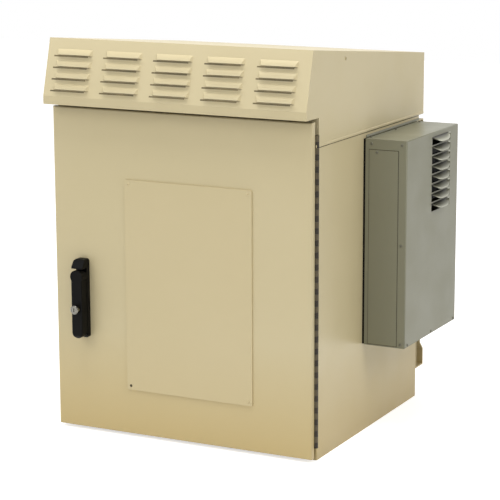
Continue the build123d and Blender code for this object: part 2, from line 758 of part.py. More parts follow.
# Lacing bars: one along each side wall, one on the back, and a strap behind the vents
with BuildPart() as lacing_bars:
    for side in (-1, 1):
        block(
            tuple(sorted((side * LINER_X, side * (LINER_X - BAR_T)))),
            (FRONT + WALL_BAR_IN0, FRONT + WALL_BAR_IN1),
            (WALL_BAR_Z0, WALL_BAR_Z0 + BAR_H),
        )
    block(
        (-BACK_BAR_HALF_W, BACK_BAR_HALF_W),
        (LINER_REAR - BAR_T, LINER_REAR),
        (BACK_BAR_Z0, BACK_BAR_Z0 + BAR_H),
    )
    block(
        (LINER_X - BAR_T, LINER_X),
        (FRONT + WALL_STRAP_IN0, FRONT + WALL_STRAP_IN0 + WALL_STRAP_W),
        (WALL_STRAP_Z0, WALL_STRAP_Z1),
    )
finish(lacing_bars, "lacing_bars")

# Earth bar: copper, stood off the wall, with a row of screws along its top edge
ground_face_x = GROUND_X - GROUND_T / 2
ground_back_x = GROUND_X + GROUND_T / 2
ground_length = GROUND_IN1 - GROUND_IN0
with BuildPart() as ground_bar:
    block(
        (ground_face_x, ground_back_x),
        (FRONT + GROUND_IN0, FRONT + GROUND_IN1),
        (GROUND_Z0, GROUND_Z1),
    )
finish(ground_bar, "ground_bar")

with BuildPart() as ground_bar_screws:
    first = GROUND_IN0 + GROUND_CAP_L + 8
    gap = (GROUND_IN1 - 10 - first) / (GROUND_SCREWS - 1)
    with BuildSketch(Plane.XY.offset(GROUND_Z1)):
        with Locations(*[(GROUND_X, FRONT + first + gap * n) for n in range(GROUND_SCREWS)]):
            RegularPolygon(GROUND_SCREW_R, 6)
    extrude(amount=GROUND_SCREW_H)
finish(ground_bar_screws, "ground_bar_screws")

with BuildPart() as ground_bar_insulators:
    for inset in (GROUND_IN0 + ground_length * 0.25, GROUND_IN0 + ground_length * 0.8):
        with BuildSketch(Plane.YZ.offset(ground_back_x)):
            with Locations((FRONT + inset, (GROUND_Z0 + GROUND_Z1) / 2)):
                RegularPolygon(INSULATOR_R, 8)
        extrude(amount=LINER_X - ground_back_x)
finish(ground_bar_insulators, "ground_bar_insulators")

with BuildPart() as ground_bar_cap:
    block(
        (ground_face_x - 3, ground_back_x + 3),
        (FRONT + GROUND_IN0 - 3, FRONT + GROUND_IN0 + GROUND_CAP_L),
        (GROUND_Z0 - 1.5, GROUND_Z1 + 3),
    )
    fillet(ground_bar_cap.edges().filter_by(Axis.Y), 1.0)
    block(
        (ground_face_x, ground_back_x),
        (FRONT + GROUND_IN0, FRONT + GROUND_IN0 + GROUND_CAP_L + 1),
        (GROUND_Z0, GROUND_Z1),
        Mode.SUBTRACT,
    )
finish(ground_bar_cap, "ground_bar_cap")

# Junction box on the floor, with its knock-outs open
with BuildPart() as junction_box:
    box_y = (FRONT + OUTLET_IN, FRONT + OUTLET_IN + OUTLET_D)
    block((OUTLET_X0, OUTLET_X1), box_y, (SHEET, SHEET + OUTLET_H))
    block(
        (OUTLET_X0 + OUTLET_SHEET, OUTLET_X1 - OUTLET_SHEET),
        (box_y[0] + OUTLET_SHEET, box_y[1] - OUTLET_SHEET),
        (SHEET, SHEET + OUTLET_H - OUTLET_SHEET),
        Mode.SUBTRACT,
    )
    third = (OUTLET_X1 - OUTLET_X0) * 0.27
    middle = (OUTLET_X0 + OUTLET_X1) / 2
    with Locations(
        (middle - third, FRONT + OUTLET_IN, SHEET + OUTLET_H * 0.62),
        (middle + third, FRONT + OUTLET_IN, SHEET + OUTLET_H * 0.62),
    ):
        Cylinder(OUTLET_HOLE_R, 6 * OUTLET_SHEET, rotation=(90, 0, 0), mode=Mode.SUBTRACT)
    with Locations((middle, FRONT + OUTLET_IN + OUTLET_D / 2, SHEET + OUTLET_H)):
        Cylinder(OUTLET_HOLE_R, 6 * OUTLET_SHEET, mode=Mode.SUBTRACT)
finish(junction_box, "junction_box")

# Mounting bars: stepped folded channels bolted across the back
for label, z0, z1, narrow, bolt_z in (
    ("mounting_bar_upper", MOUNT_UPPER_Z0, MOUNT_UPPER_Z1, MOUNT_NARROW_UPPER, BOLT_UPPER_Z),
    ("mounting_bar_lower", MOUNT_LOWER_Z0, MOUNT_LOWER_Z1, MOUNT_NARROW_LOWER, BOLT_LOWER_Z),
):
    step_z = z1 - narrow
    with BuildPart() as mounting_bar:
        with BuildSketch(Plane.YZ.offset(-HALF_W)):
            Polygon(
                (REAR, z0),
                (REAR, z1),
                (REAR + MOUNT_NARROW, z1),
                (REAR + MOUNT_NARROW, step_z),
                (REAR + MOUNT_WIDE, step_z - MOUNT_STEP),
                (REAR + MOUNT_WIDE, z0),
                align=None,
            )
            offset(amount=-MOUNT_SHEET, kind=Kind.INTERSECTION, mode=Mode.SUBTRACT)
        extrude(amount=BODY_W)
        with Locations(*[(x, REAR, bolt_z) for x in bolt_x_all]):
            Cylinder(BOLT_R + BOLT_HOLE_GAP, 3 * MOUNT_SHEET, rotation=(90, 0, 0), mode=Mode.SUBTRACT)
        with Locations(*[(x, REAR + MOUNT_WIDE, z0 + MOUNT_HOLE_UP) for x in (-MOUNT_HOLE_X, MOUNT_HOLE_X)]):
            Cylinder(MOUNT_HOLE_R, 3 * MOUNT_SHEET, rotation=(90, 0, 0), mode=Mode.SUBTRACT)
    finish(mounting_bar, label)

# Bolts through the back wall: head in the bar, washer and nut on the lining
with BuildPart() as mounting_bolts:
    for x in bolt_x_all:
        for z in (BOLT_UPPER_Z, BOLT_LOWER_Z):
            with BuildSketch(Plane.XZ.offset(-REAR - MOUNT_SHEET - BOLT_HEAD_T)):
                with Locations((x, z)):
                    RegularPolygon(BOLT_HEAD_R, 6)
            extrude(amount=BOLT_HEAD_T)
            with BuildSketch(Plane.XZ.offset(-REAR - MOUNT_SHEET)):
                with Locations((x, z)):
                    Circle(BOLT_R)
            extrude(amount=REAR + MOUNT_SHEET - LINER_REAR + WASHER_T + BOLT_HEAD_T + 6)
            with BuildSketch(Plane.XZ.offset(-LINER_REAR)):
                with Locations((x, z)):
                    Circle(WASHER_R)
            extrude(amount=WASHER_T)
            with BuildSketch(Plane.XZ.offset(-LINER_REAR + WASHER_T)):
                with Locations((x, z)):
                    RegularPolygon(BOLT_HEAD_R, 6)
            extrude(amount=BOLT_HEAD_T)
finish(mounting_bolts, "mounting_bolts")

# Hinge: each leaf owns every second knuckle, and one pin runs through them all
hinge_pairs = round((HINGE_TOP_Z - HINGE_BOTTOM_Z) / HINGE_PITCH)
knuckle_pitch = (HINGE_TOP_Z - HINGE_BOTTOM_Z) / (2 * hinge_pairs)
leaf_x0 = HINGE_X - HINGE_LEAF_W
notch_x = HINGE_X - HINGE_R - HINGE_GAP
for label, first, leaf_y in (
    ("hinge_leaf_body", 0, FRONT - HINGE_LEAF_T),
    ("hinge_leaf_door", 1, DOOR_BACK_Y),
):
    with BuildPart() as hinge_leaf:
        block((leaf_x0, notch_x), (leaf_y, leaf_y + HINGE_LEAF_T), (HINGE_BOTTOM_Z, HINGE_TOP_Z))
        for number in range(first, 2 * hinge_pairs, 2):
            low = HINGE_BOTTOM_Z + number * knuckle_pitch + HINGE_GAP / 2
            with BuildSketch(Plane.XY.offset(low)):
                with Locations(((notch_x + HINGE_X) / 2, leaf_y + HINGE_LEAF_T / 2)):
                    Rectangle(HINGE_X - notch_x, HINGE_LEAF_T)
                with Locations((HINGE_X, HINGE_Y)):
                    Circle(HINGE_R)
                    Circle(HINGE_PIN_R + HINGE_FIT, mode=Mode.SUBTRACT)
            extrude(amount=knuckle_pitch - HINGE_GAP)
    finish(hinge_leaf, label)

with BuildPart() as hinge_pin:
    with BuildSketch(Plane.XY.offset(HINGE_BOTTOM_Z)):
        with Locations((HINGE_X, HINGE_Y)):
            Circle(HINGE_PIN_R)
    extrude(amount=HINGE_TOP_Z - HINGE_BOTTOM_Z)
finish(hinge_pin, "hinge_pin")

# Door panel: one folded pan with its return flanges behind
with BuildPart() as door_panel:
    block((DOOR_X0, DOOR_X1), (DOOR_Y, DOOR_BACK_Y), (DOOR_BOTTOM_Z, DOOR_TOP_Z))
    fillet(door_panel.faces().sort_by(Axis.Y)[0].edges(), DOOR_EDGE_R)
    block(
        (DOOR_X0 + DOOR_SHEET, DOOR_X1 - DOOR_SHEET),
        (PAN_Y, DOOR_BACK_Y - DOOR_SHEET),
        (DOOR_BOTTOM_Z + DOOR_SHEET, DOOR_TOP_Z - DOOR_SHEET),
        Mode.SUBTRACT,
    )
    block(
        (DOOR_X0 + DOOR_FLANGE_SIDE, DOOR_X1 - DOOR_FLANGE_SIDE),
        (PAN_Y + DOOR_SHEET, DOOR_BACK_Y + 1),
        (DOOR_BOTTOM_Z + DOOR_FLANGE_BOTTOM, DOOR_TOP_Z - DOOR_FLANGE_TOP),
        Mode.SUBTRACT,
    )
    with Locations((HANDLE_X, DOOR_Y, SPINDLE_Z)):
        Cylinder(SPINDLE_R + DOOR_SHEET, 4 * DOOR_SHEET, rotation=(90, 0, 0), mode=Mode.SUBTRACT)
finish(door_panel, "door_panel")

# Plate on the front, held by a rivet in each corner
with BuildPart() as door_plate:
    with BuildSketch(Plane.XZ.offset(-DOOR_Y)):
        with Locations((PLATE_X, PLATE_BOTTOM_Z + PLATE_H / 2)):
            RectangleRounded(PLATE_W, PLATE_H, PLATE_CORNER_R)
    extrude(amount=PLATE_T)
finish(door_plate, "door_plate")

with BuildPart() as plate_rivets:
    for sign_x in (-1, 1):
        for sign_z in (-1, 1):
            seat = Plane(
                origin=(
                    PLATE_X + sign_x * (PLATE_W / 2 - RIVET_INSET),
                    DOOR_Y - PLATE_T,
                    PLATE_BOTTOM_Z + PLATE_H / 2 + sign_z * (PLATE_H / 2 - RIVET_INSET),
                ),
                z_dir=(0, -1, 0),
            )
            screw_head(seat, RIVET_R, RIVET_T)
finish(plate_rivets, "plate_rivets")

# Foam seal round the pan, where the drip lip presses
gasket_x = (DOOR_X0 + GASKET_LATCH_INSET, DOOR_X1 - GASKET_HINGE_INSET)
gasket_z = (DOOR_BOTTOM_Z + DOOR_SHEET, DOOR_TOP_Z - DOOR_SHEET)
with BuildPart() as door_gasket:
    frame_ring(gasket_x, gasket_z, GASKET_W, PAN_Y, PAN_Y + GASKET_T)
finish(door_gasket, "door_gasket")

# Foil blanket inside the door, cut out round the latch, its cover and the stay channel
foam_x = (gasket_x[0] + GASKET_W + DOOR_FOAM_GAP, gasket_x[1] - GASKET_W - DOOR_FOAM_GAP)
foam_z = (gasket_z[0] + GASKET_W + DOOR_FOAM_GAP, gasket_z[1] - GASKET_W - DOOR_FOAM_GAP)
foam_cuts = [
    (
        (foam_x[0] - 1, HANDLE_X + LATCH_HALF_W + 1),
        (SPINDLE_Z - LATCH_HALF_H - 1, SPINDLE_Z + LATCH_HALF_H + 1),
    ),
    ((foam_x[0] - 1, COVER_X1 + 1), (COVER_Z0 - 1, COVER_Z1 + 1)),
    ((STAY_CHANNEL_X0 - 1, STAY_CHANNEL_X1 + 1), (foam_z[0] - 1, STAY_CHANNEL_Z1 + 1)),
    ((foam_x[0] - 1, ROD_END_X + GUIDE_HALF_W + 1), (GUIDE_UPPER_Z - 1, GUIDE_UPPER_Z + GUIDE_FOOT + 1)),
    ((foam_x[0] - 1, ROD_END_X + GUIDE_HALF_W + 1), (GUIDE_LOWER_Z - 1, GUIDE_LOWER_Z + GUIDE_FOOT + 1)),
]
pin_spots = [(x, PAN_Y, z) for x in PIN_X for z in PIN_Z]
with BuildPart() as door_lining:
    block(foam_x, (PAN_Y, PAN_Y + DOOR_FOAM_T), foam_z)
    for cut_x, cut_z in foam_cuts:
        block(cut_x, (PAN_Y - 1, PAN_Y + DOOR_FOAM_T + 1), cut_z, Mode.SUBTRACT)
    with Locations(*pin_spots):
        Cylinder(PIN_R + 0.3, 4 * DOOR_FOAM_T, rotation=(90, 0, 0), mode=Mode.SUBTRACT)
finish(door_lining, "door_lining")

with BuildPart() as lining_pins:
    for x, y, z in pin_spots:
        with BuildSketch(Plane.XZ.offset(-y - DOOR_FOAM_T)):
            with Locations((x, z)):
                Circle(PIN_R)
        extrude(amount=DOOR_FOAM_T)
        with BuildSketch(Plane.XZ.offset(-y - DOOR_FOAM_T - PIN_DISC_T)):
            with Locations((x, z)):
                Circle(PIN_DISC_R)
        extrude(amount=PIN_DISC_T)
finish(lining_pins, "lining_pins")

# Stay channel: a shelf with a slot and a turned-up edge, fixed at the foot of the door
shelf_y = PAN_Y + STAY_CHANNEL_OUT
with BuildPart() as stay_channel:
    side_profile(
        [
            (PAN_Y, STAY_CHANNEL_Z0),
            (shelf_y, STAY_CHANNEL_Z0),
            (shelf_y, STAY_CHANNEL_Z0 + 4 * STAY_SHEET),
            (shelf_y - STAY_SHEET, STAY_CHANNEL_Z0 + 4 * STAY_SHEET),
            (shelf_y - STAY_SHEET, STAY_CHANNEL_Z0 + STAY_SHEET),
            (PAN_Y + STAY_SHEET, STAY_CHANNEL_Z0 + STAY_SHEET),
            (PAN_Y + STAY_SHEET, STAY_CHANNEL_Z1),
            (PAN_Y, STAY_CHANNEL_Z1),
        ],
        STAY_CHANNEL_X0,
        STAY_CHANNEL_X1,
    )
    slot_x = (STAY_CHANNEL_X0 + 2 * STAY_SLOT_W, STAY_CHANNEL_X1 - 2 * STAY_SLOT_W)
    with BuildSketch(Plane.XY.offset(STAY_CHANNEL_Z0 - 1)):
        with Locations(((slot_x[0] + slot_x[1]) / 2, STAY_TRACK_Y)):
            SlotOverall(slot_x[1] - slot_x[0], STAY_SLOT_W)
    extrude(amount=2 * STAY_SHEET, mode=Mode.SUBTRACT)
finish(stay_channel, "stay_channel")

# Stay rod at rest: from its post to the place where the slot holds it with the door shut
open_turn = radians(DOOR_OPEN)
arm_x = STAY_DOOR_X - HINGE_X
arm_y = STAY_TRACK_Y - HINGE_Y
open_x = HINGE_X + arm_x * cos(open_turn) - arm_y * sin(open_turn)
open_y = HINGE_Y + arm_x * sin(open_turn) + arm_y * cos(open_turn)
stay_length = hypot(open_x - STAY_X, open_y - STAY_Y)
shut_x = STAY_X - sqrt(stay_length ** 2 - (STAY_Y - STAY_TRACK_Y) ** 2)
shut_angle = atan2(STAY_TRACK_Y - STAY_Y, shut_x - STAY_X)
open_angle = atan2(open_y - STAY_Y, open_x - STAY_X)
stay_turn = (degrees(open_angle - shut_angle)) % 360
print(f"stay rod {stay_length:.1f} mm, shut end x {shut_x:.1f}, turn {stay_turn:.2f} degrees,"
      f" ratio {stay_turn / DOOR_OPEN:.5f}")
rod_plane = Plane(
    origin=(STAY_X, STAY_Y, STAY_Z),
    x_dir=(shut_x - STAY_X, STAY_TRACK_Y - STAY_Y, 0),
    z_dir=(0, 0, 1),
)
with BuildPart() as stay_rod:
    with BuildSketch(Plane(origin=rod_plane.origin, x_dir=(0, 0, 1), z_dir=rod_plane.x_dir)):
        Circle(STAY_R)
    extrude(amount=stay_length)
    with BuildSketch(rod_plane):
        Circle(STAY_EYE_R - 1)
        with Locations((stay_length, 0)):
            Circle(STAY_END_R - 1)
    extrude(amount=STAY_R, both=True, mode=Mode.SUBTRACT)
    with BuildSketch(rod_plane.offset(-STAY_EYE_T / 2)):
        Circle(STAY_EYE_R)
        with Locations((stay_length, 0)):
            Circle(STAY_END_R)
    extrude(amount=STAY_EYE_T)
    with BuildSketch(rod_plane.offset(STAY_EYE_T / 2)):
        with Locations((stay_length, 0)):
            Circle(STAY_END_PIN_R)
    extrude(amount=STAY_CHANNEL_Z0 - STAY_Z - STAY_EYE_T / 2 - STAY_GAP)
    with BuildSketch(rod_plane.offset(-2 * STAY_R)):
        Circle(STAY_PIN_R + STAY_PIN_FIT)
    extrude(amount=4 * STAY_R, mode=Mode.SUBTRACT)
finish(stay_rod, "stay_rod")

# Stay post: a foot on the floor, a turned post and a riveted head over the rod's eye
with BuildPart() as stay_post:
    block((STAY_X - 18, STAY_X + 18), (STAY_Y - 12, STAY_Y + 12), (SHEET, 2 * SHEET))
    with BuildSketch(Plane.XZ.offset(-STAY_Y)):
        with BuildLine():
            Polyline(
                (STAY_X, 2 * SHEET),
                (STAY_X + 6, 2 * SHEET),
                (STAY_X + 6, STAY_Z - STAY_EYE_T / 2 - STAY_GAP),
                (STAY_X + STAY_PIN_R, STAY_Z - STAY_EYE_T / 2 - STAY_GAP),
                (STAY_X + STAY_PIN_R, STAY_Z + STAY_EYE_T / 2 + STAY_GAP),
                (STAY_X + STAY_EYE_R - 1, STAY_Z + STAY_EYE_T / 2 + STAY_GAP),
                (STAY_X + STAY_EYE_R - 2, STAY_Z + STAY_EYE_T / 2 + STAY_GAP + 2),
                (STAY_X, STAY_Z + STAY_EYE_T / 2 + STAY_GAP + 2),
                close=True,
            )
        make_face()
    revolve(axis=Axis((STAY_X, STAY_Y, 0), (0, 0, 1)))
finish(stay_post, "stay_post")

# Latch housing: a folded tube that guides the racks' backs, on two legs from the pan
latch_x = (HANDLE_X - LATCH_HALF_W, HANDLE_X + LATCH_HALF_W)
latch_z = (SPINDLE_Z - LATCH_HALF_H, SPINDLE_Z + LATCH_HALF_H)
latch_in = GEAR_T / 2 + LATCH_SIDE_GAP
with BuildPart() as latch_housing:
    block(latch_x, (ROLLER_Y - latch_in - LATCH_WALL, ROLLER_Y + latch_in + LATCH_WALL), latch_z)
    block(
        (latch_x[0] + LATCH_WALL, latch_x[1] - LATCH_WALL),
        (ROLLER_Y - latch_in, ROLLER_Y + latch_in),
        (latch_z[0] - 1, latch_z[1] + 1),
        Mode.SUBTRACT,
    )
    block(latch_x, (PAN_Y, ROLLER_Y - latch_in - LATCH_WALL), (latch_z[0], latch_z[0] + LATCH_WALL))
    block(latch_x, (PAN_Y, ROLLER_Y - latch_in - LATCH_WALL), (latch_z[1] - LATCH_WALL, latch_z[1]))
    with Locations((HANDLE_X, ROLLER_Y, SPINDLE_Z)):
        Cylinder(SPINDLE_R + SHAFT_FIT, 4 * LATCH_HALF_W, rotation=(90, 0, 0), mode=Mode.SUBTRACT)
finish(latch_housing, "latch_housing")

# Rear cover over the handle's lower fixing
with BuildPart() as handle_rear_cover:
    block((COVER_X0, COVER_X1), (PAN_Y, PAN_Y + COVER_OUT), (COVER_Z0, COVER_Z1))
    fillet(handle_rear_cover.faces().sort_by(Axis.Y)[-1].edges(), 2.0)
    block(
        (COVER_X0 + COVER_SHEET, COVER_X1 - COVER_SHEET),
        (PAN_Y - 1, PAN_Y + COVER_OUT - COVER_SHEET),
        (COVER_Z0 + COVER_SHEET, COVER_Z1 - COVER_SHEET),
        Mode.SUBTRACT,
    )
finish(handle_rear_cover, "handle_rear_cover")

# Pinion with involute teeth, fixed on the spindle
tooth = involute_tooth(GEAR_R, GEAR_TEETH, GEAR_MODULE, GEAR_BACKLASH)
gear_points = []
for number in range(GEAR_TEETH):
    middle = 2 * pi * number / GEAR_TEETH
    for r, half in tooth:
        gear_points.append((HANDLE_X + r * cos(middle - half), SPINDLE_Z + r * sin(middle - half)))
    for r, half in reversed(tooth):
        gear_points.append((HANDLE_X + r * cos(middle + half), SPINDLE_Z + r * sin(middle + half)))
with BuildPart() as latch_pinion:
    with BuildSketch(Plane.XZ.offset(-ROLLER_Y - GEAR_T / 2)):
        Polygon(*gear_points, align=None)
        with Locations((HANDLE_X, SPINDLE_Z)):
            Circle(SPINDLE_R, mode=Mode.SUBTRACT)
    extrude(amount=GEAR_T)
finish(latch_pinion, "latch_pinion")

# Spindle: a turned shaft with a flat tongue that the grip hinges on
housing_back = ROLLER_Y + latch_in + LATCH_WALL
with BuildPart() as handle_spindle:
    with BuildSketch(Plane.XZ.offset(-housing_back - 3)):
        with Locations((HANDLE_X, SPINDLE_Z)):
            Circle(SPINDLE_R)
    extrude(amount=housing_back + 3 - BASE_FACE_Y)
    with BuildSketch(Plane.YZ.offset(HANDLE_X - GRIP_TONGUE_W / 2)):
        with Locations(((GRIP_PIVOT_Y + BASE_FACE_Y) / 2, SPINDLE_Z)):
            Rectangle(BASE_FACE_Y - GRIP_PIVOT_Y, 2 * SPINDLE_R - 3)
        with Locations((GRIP_PIVOT_Y, SPINDLE_Z)):
            Circle(GRIP_TONGUE_R)
            Circle(GRIP_PIN_R, mode=Mode.SUBTRACT)
    extrude(amount=GRIP_TONGUE_W)
finish(handle_spindle, "handle_spindle")

with BuildPart() as spindle_nut:
    with BuildSketch(Plane.XZ.offset(-housing_back - 3)):
        with Locations((HANDLE_X, SPINDLE_Z)):
            RegularPolygon(SPINDLE_R + 4, 6)
            Circle(SPINDLE_R, mode=Mode.SUBTRACT)
    extrude(amount=3 - SHAFT_FIT)
finish(spindle_nut, "spindle_nut")

with BuildPart() as grip_pin:
    with BuildSketch(Plane.YZ.offset(HANDLE_X - HANDLE_W / 2 + 2)):
        with Locations((GRIP_PIVOT_Y, SPINDLE_Z)):
            Circle(GRIP_PIN_R)
    extrude(amount=HANDLE_W - 4)
finish(grip_pin, "grip_pin")

# Handle base: a moulded back plate with a hump above the grip's round head
base_mid_z = (HANDLE_BASE_BOTTOM_Z + HANDLE_BASE_TOP_Z) / 2
hump_z = SPINDLE_Z + GRIP_HEAD_R + GRIP_HEAD_GAP
with BuildPart() as handle_base:
    with BuildSketch(Plane.XZ.offset(-DOOR_Y)):
        with Locations((HANDLE_X, base_mid_z)):
            RectangleRounded(HANDLE_W, HANDLE_BASE_TOP_Z - HANDLE_BASE_BOTTOM_Z, 5)
    extrude(amount=HANDLE_HUMP_T)
    with BuildSketch(Plane.YZ.offset(HANDLE_X - HANDLE_W)):
        Polygon(
            (DOOR_Y, HANDLE_BASE_BOTTOM_Z - 1),
            (BASE_FACE_Y + 3, HANDLE_BASE_BOTTOM_Z - 1),
            (BASE_FACE_Y, HANDLE_BASE_BOTTOM_Z + 5),
            (BASE_FACE_Y, hump_z),
            (DOOR_Y - HANDLE_HUMP_T, hump_z),
            (DOOR_Y - HANDLE_HUMP_T, hump_z + 3),
            (DOOR_Y - HANDLE_HUMP_T * 0.72, HANDLE_BASE_TOP_Z - 4),
            (DOOR_Y - HANDLE_HUMP_T * 0.5, HANDLE_BASE_TOP_Z + 1),
            (DOOR_Y, HANDLE_BASE_TOP_Z + 1),
            align=None,
        )
    extrude(amount=2 * HANDLE_W, mode=Mode.INTERSECT)
    with Locations((HANDLE_X, DOOR_Y, SPINDLE_Z)):
        Cylinder(SPINDLE_R + SHAFT_FIT, 4 * HANDLE_BASE_T, rotation=(90, 0, 0), mode=Mode.SUBTRACT)
finish(handle_base, "handle_base")

# Grip: a round head that hinges on the tongue, a flat paddle and a bore for the lock
grip_back_y = BASE_FACE_Y - GRIP_BACK_GAP
with BuildPart() as handle_grip:
    with BuildSketch(Plane.XZ.offset(-grip_back_y)):
        with Locations((HANDLE_X, SPINDLE_Z)):
            Circle(GRIP_HEAD_R)
        with Locations((HANDLE_X, (SPINDLE_Z + GRIP_BOTTOM_Z + HANDLE_W / 2 - 0.5) / 2)):
            Rectangle(HANDLE_W - 1, SPINDLE_Z - GRIP_BOTTOM_Z - HANDLE_W / 2 + 0.5)
        with Locations((HANDLE_X, GRIP_BOTTOM_Z + HANDLE_W / 2 - 0.5)):
            Circle(HANDLE_W / 2 - 0.5)
    extrude(amount=grip_back_y - GRIP_FACE_Y)
    with BuildSketch(Plane.YZ.offset(HANDLE_X - HANDLE_W)):
        with Locations((GRIP_PIVOT_Y, SPINDLE_Z)):
            Circle(GRIP_HEAD_R)
        Polygon(
            (grip_back_y, SPINDLE_Z),
            (GRIP_FACE_Y, SPINDLE_Z),
            (GRIP_FACE_Y, GRIP_BOTTOM_Z + 6),
            (GRIP_FACE_Y + 5, GRIP_BOTTOM_Z - 1),
            (grip_back_y, GRIP_BOTTOM_Z - 1),
            align=None,
        )
    extrude(amount=2 * HANDLE_W, mode=Mode.INTERSECT)
    fillet(handle_grip.faces().sort_by(Axis.Y)[0].edges().filter_by(Axis.Z), 2.5)
    slot_half = GRIP_TONGUE_W / 2 + 0.2
    with BuildSketch(Plane.YZ.offset(HANDLE_X - slot_half)):
        with Locations((GRIP_PIVOT_Y, SPINDLE_Z)):
            Circle(GRIP_TONGUE_R + 0.4)
        Polygon(
            (GRIP_PIVOT_Y, SPINDLE_Z - GRIP_TONGUE_R - 0.4),
            (grip_back_y + 1, SPINDLE_Z - GRIP_TONGUE_R - 0.4),
            (grip_back_y + 1, SPINDLE_Z + GRIP_HEAD_R),
            (GRIP_PIVOT_Y - GRIP_TONGUE_R * 0.3, SPINDLE_Z + GRIP_HEAD_R),
            align=None,
        )
    extrude(amount=2 * slot_half, mode=Mode.SUBTRACT)
    with BuildSketch(Plane.YZ.offset(HANDLE_X - HANDLE_W / 2 + 2 - SHAFT_FIT)):
        with Locations((GRIP_PIVOT_Y, SPINDLE_Z)):
            Circle(GRIP_PIN_R + SHAFT_FIT)
    extrude(amount=HANDLE_W - 4 + 2 * SHAFT_FIT, mode=Mode.SUBTRACT)
    with BuildSketch(Plane.XZ.offset(-grip_back_y - 1)):
        with Locations((HANDLE_X, LOCK_Z)):
            Circle(LOCK_R + SHAFT_FIT)
    extrude(amount=grip_back_y - GRIP_FACE_Y + 2, mode=Mode.SUBTRACT)
finish(handle_grip, "handle_grip")

# Lock cylinder: turned nose with a bevelled rim and a keyway
with BuildPart() as lock_cylinder:
    with BuildSketch(Plane.XZ.offset(-grip_back_y)):
        with Locations((HANDLE_X, LOCK_Z)):
            Circle(LOCK_R)
    extrude(amount=grip_back_y - GRIP_FACE_Y + LOCK_FACE_OUT)
    chamfer(lock_cylinder.edges().group_by(Axis.Y)[0], 1.5)
    block(
        (HANDLE_X - 1, HANDLE_X + 1),
        (GRIP_FACE_Y - LOCK_FACE_OUT - 1, GRIP_FACE_Y - LOCK_FACE_OUT + 3),
        (LOCK_Z - 4, LOCK_Z + 4),
        Mode.SUBTRACT,
    )
finish(lock_cylinder, "lock_cylinder")

# Latch rods: a rack, a bent rod and a riveted axle for the roller, one up and one down
for label, side, way, eye_z in (
    ("latch_rod_upper", -1, 1, ROLLER_TOP_Z),
    ("latch_rod_lower", 1, -1, ROLLER_BOTTOM_Z),
):
    pitch_x = HANDLE_X + side * GEAR_R
    back_x = HANDLE_X + side * (LATCH_HALF_W - LATCH_WALL - RACK_BACK_GAP)
    near_z = SPINDLE_Z - way * RACK_SPARE
    far_z = SPINDLE_Z + way * (ROD_TRAVEL + RACK_ROD_SPARE)
    rod_x = back_x - side * (ROD_R + 0.2)
    bend_z = [SPINDLE_Z + share * (eye_z - SPINDLE_Z) for share in ROD_BEND_SHARES]
    with BuildPart() as latch_rod:
        with BuildSketch(Plane.XZ.offset(-ROLLER_Y - GEAR_T / 2)):
            Polygon(
                *rack_points(
                    min(near_z, far_z),
                    max(near_z, far_z),
                    pitch_x,
                    back_x,
                    GEAR_MODULE,
                    GEAR_BACKLASH,
                    SPINDLE_Z + pi * GEAR_MODULE / 2,
                ),
                align=None,
            )
        extrude(amount=GEAR_T)
        with BuildLine() as rod_path:
            FilletPolyline(
                (rod_x, ROLLER_Y, far_z - way * 2),
                (rod_x, ROLLER_Y, bend_z[0]),
                (ROD_END_X, ROLLER_Y, bend_z[1]),
                (ROD_END_X, ROLLER_Y, eye_z - way * (ROD_EYE_R - 2)),
                radius=ROD_BEND_R,
            )
        with BuildSketch(Plane(origin=rod_path.line @ 0, z_dir=rod_path.line % 0)):
            Circle(ROD_R)
        sweep(path=rod_path.line)
        with BuildSketch(Plane.YZ.offset(ROD_EYE_X - ROD_EYE_W / 2)):
            with Locations((ROLLER_Y, eye_z)):
                Circle(ROD_EYE_R)
        extrude(amount=ROD_EYE_W)
        with BuildSketch(Plane.YZ.offset(ROD_EYE_X - ROD_EYE_W / 2 - 2 * ROLLER_GAP - ROLLER_W)):
            with Locations((ROLLER_Y, eye_z)):
                Circle(ROLLER_AXLE_R)
        extrude(amount=2 * ROLLER_GAP + ROLLER_W)
        with BuildSketch(Plane.YZ.offset(ROD_EYE_X - ROD_EYE_W / 2 - 2 * ROLLER_GAP - ROLLER_W)):
            with Locations((ROLLER_Y, eye_z)):
                Circle(ROLLER_AXLE_R + 2.5)
        extrude(amount=-1.5)
    finish(latch_rod, label)

for label, eye_z in (("roller_upper", ROLLER_TOP_Z), ("roller_lower", ROLLER_BOTTOM_Z)):
    with BuildPart() as roller:
        with BuildSketch(Plane.YZ.offset(ROD_EYE_X - ROD_EYE_W / 2 - ROLLER_GAP - ROLLER_W)):
            with Locations((ROLLER_Y, eye_z)):
                Circle(ROLLER_R)
        extrude(amount=ROLLER_W)
        chamfer(roller.edges().filter_by(GeomType.CIRCLE), 1.5)
        with BuildSketch(Plane.YZ.offset(ROD_EYE_X - ROD_EYE_W / 2 - ROLLER_GAP - ROLLER_W)):
            with Locations((ROLLER_Y, eye_z)):
                Circle(ROLLER_AXLE_R + SHAFT_FIT)
        extrude(amount=ROLLER_W, mode=Mode.SUBTRACT)
    finish(roller, label)

# Rod guides: bent brackets on the pan, each with a hole that the rod slides in
with BuildPart() as rod_guides:
    for guide_z in (GUIDE_UPPER_Z, GUIDE_LOWER_Z):
        side_profile(
            [
                (PAN_Y, guide_z),
                (ROLLER_Y + ROD_R + 6, guide_z),
                (ROLLER_Y + ROD_R + 6, guide_z + GUIDE_T),
                (PAN_Y + GUIDE_T, guide_z + GUIDE_T),
                (PAN_Y + GUIDE_T, guide_z + GUIDE_FOOT),
                (PAN_Y, guide_z + GUIDE_FOOT),
            ],
            ROD_END_X - GUIDE_HALF_W,
            ROD_END_X + GUIDE_HALF_W,
        )
        with Locations((ROD_END_X, ROLLER_Y, guide_z)):
            Cylinder(ROD_R + GUIDE_GAP, 4 * GUIDE_T, mode=Mode.SUBTRACT)
finish(rod_guides, "rod_guides")

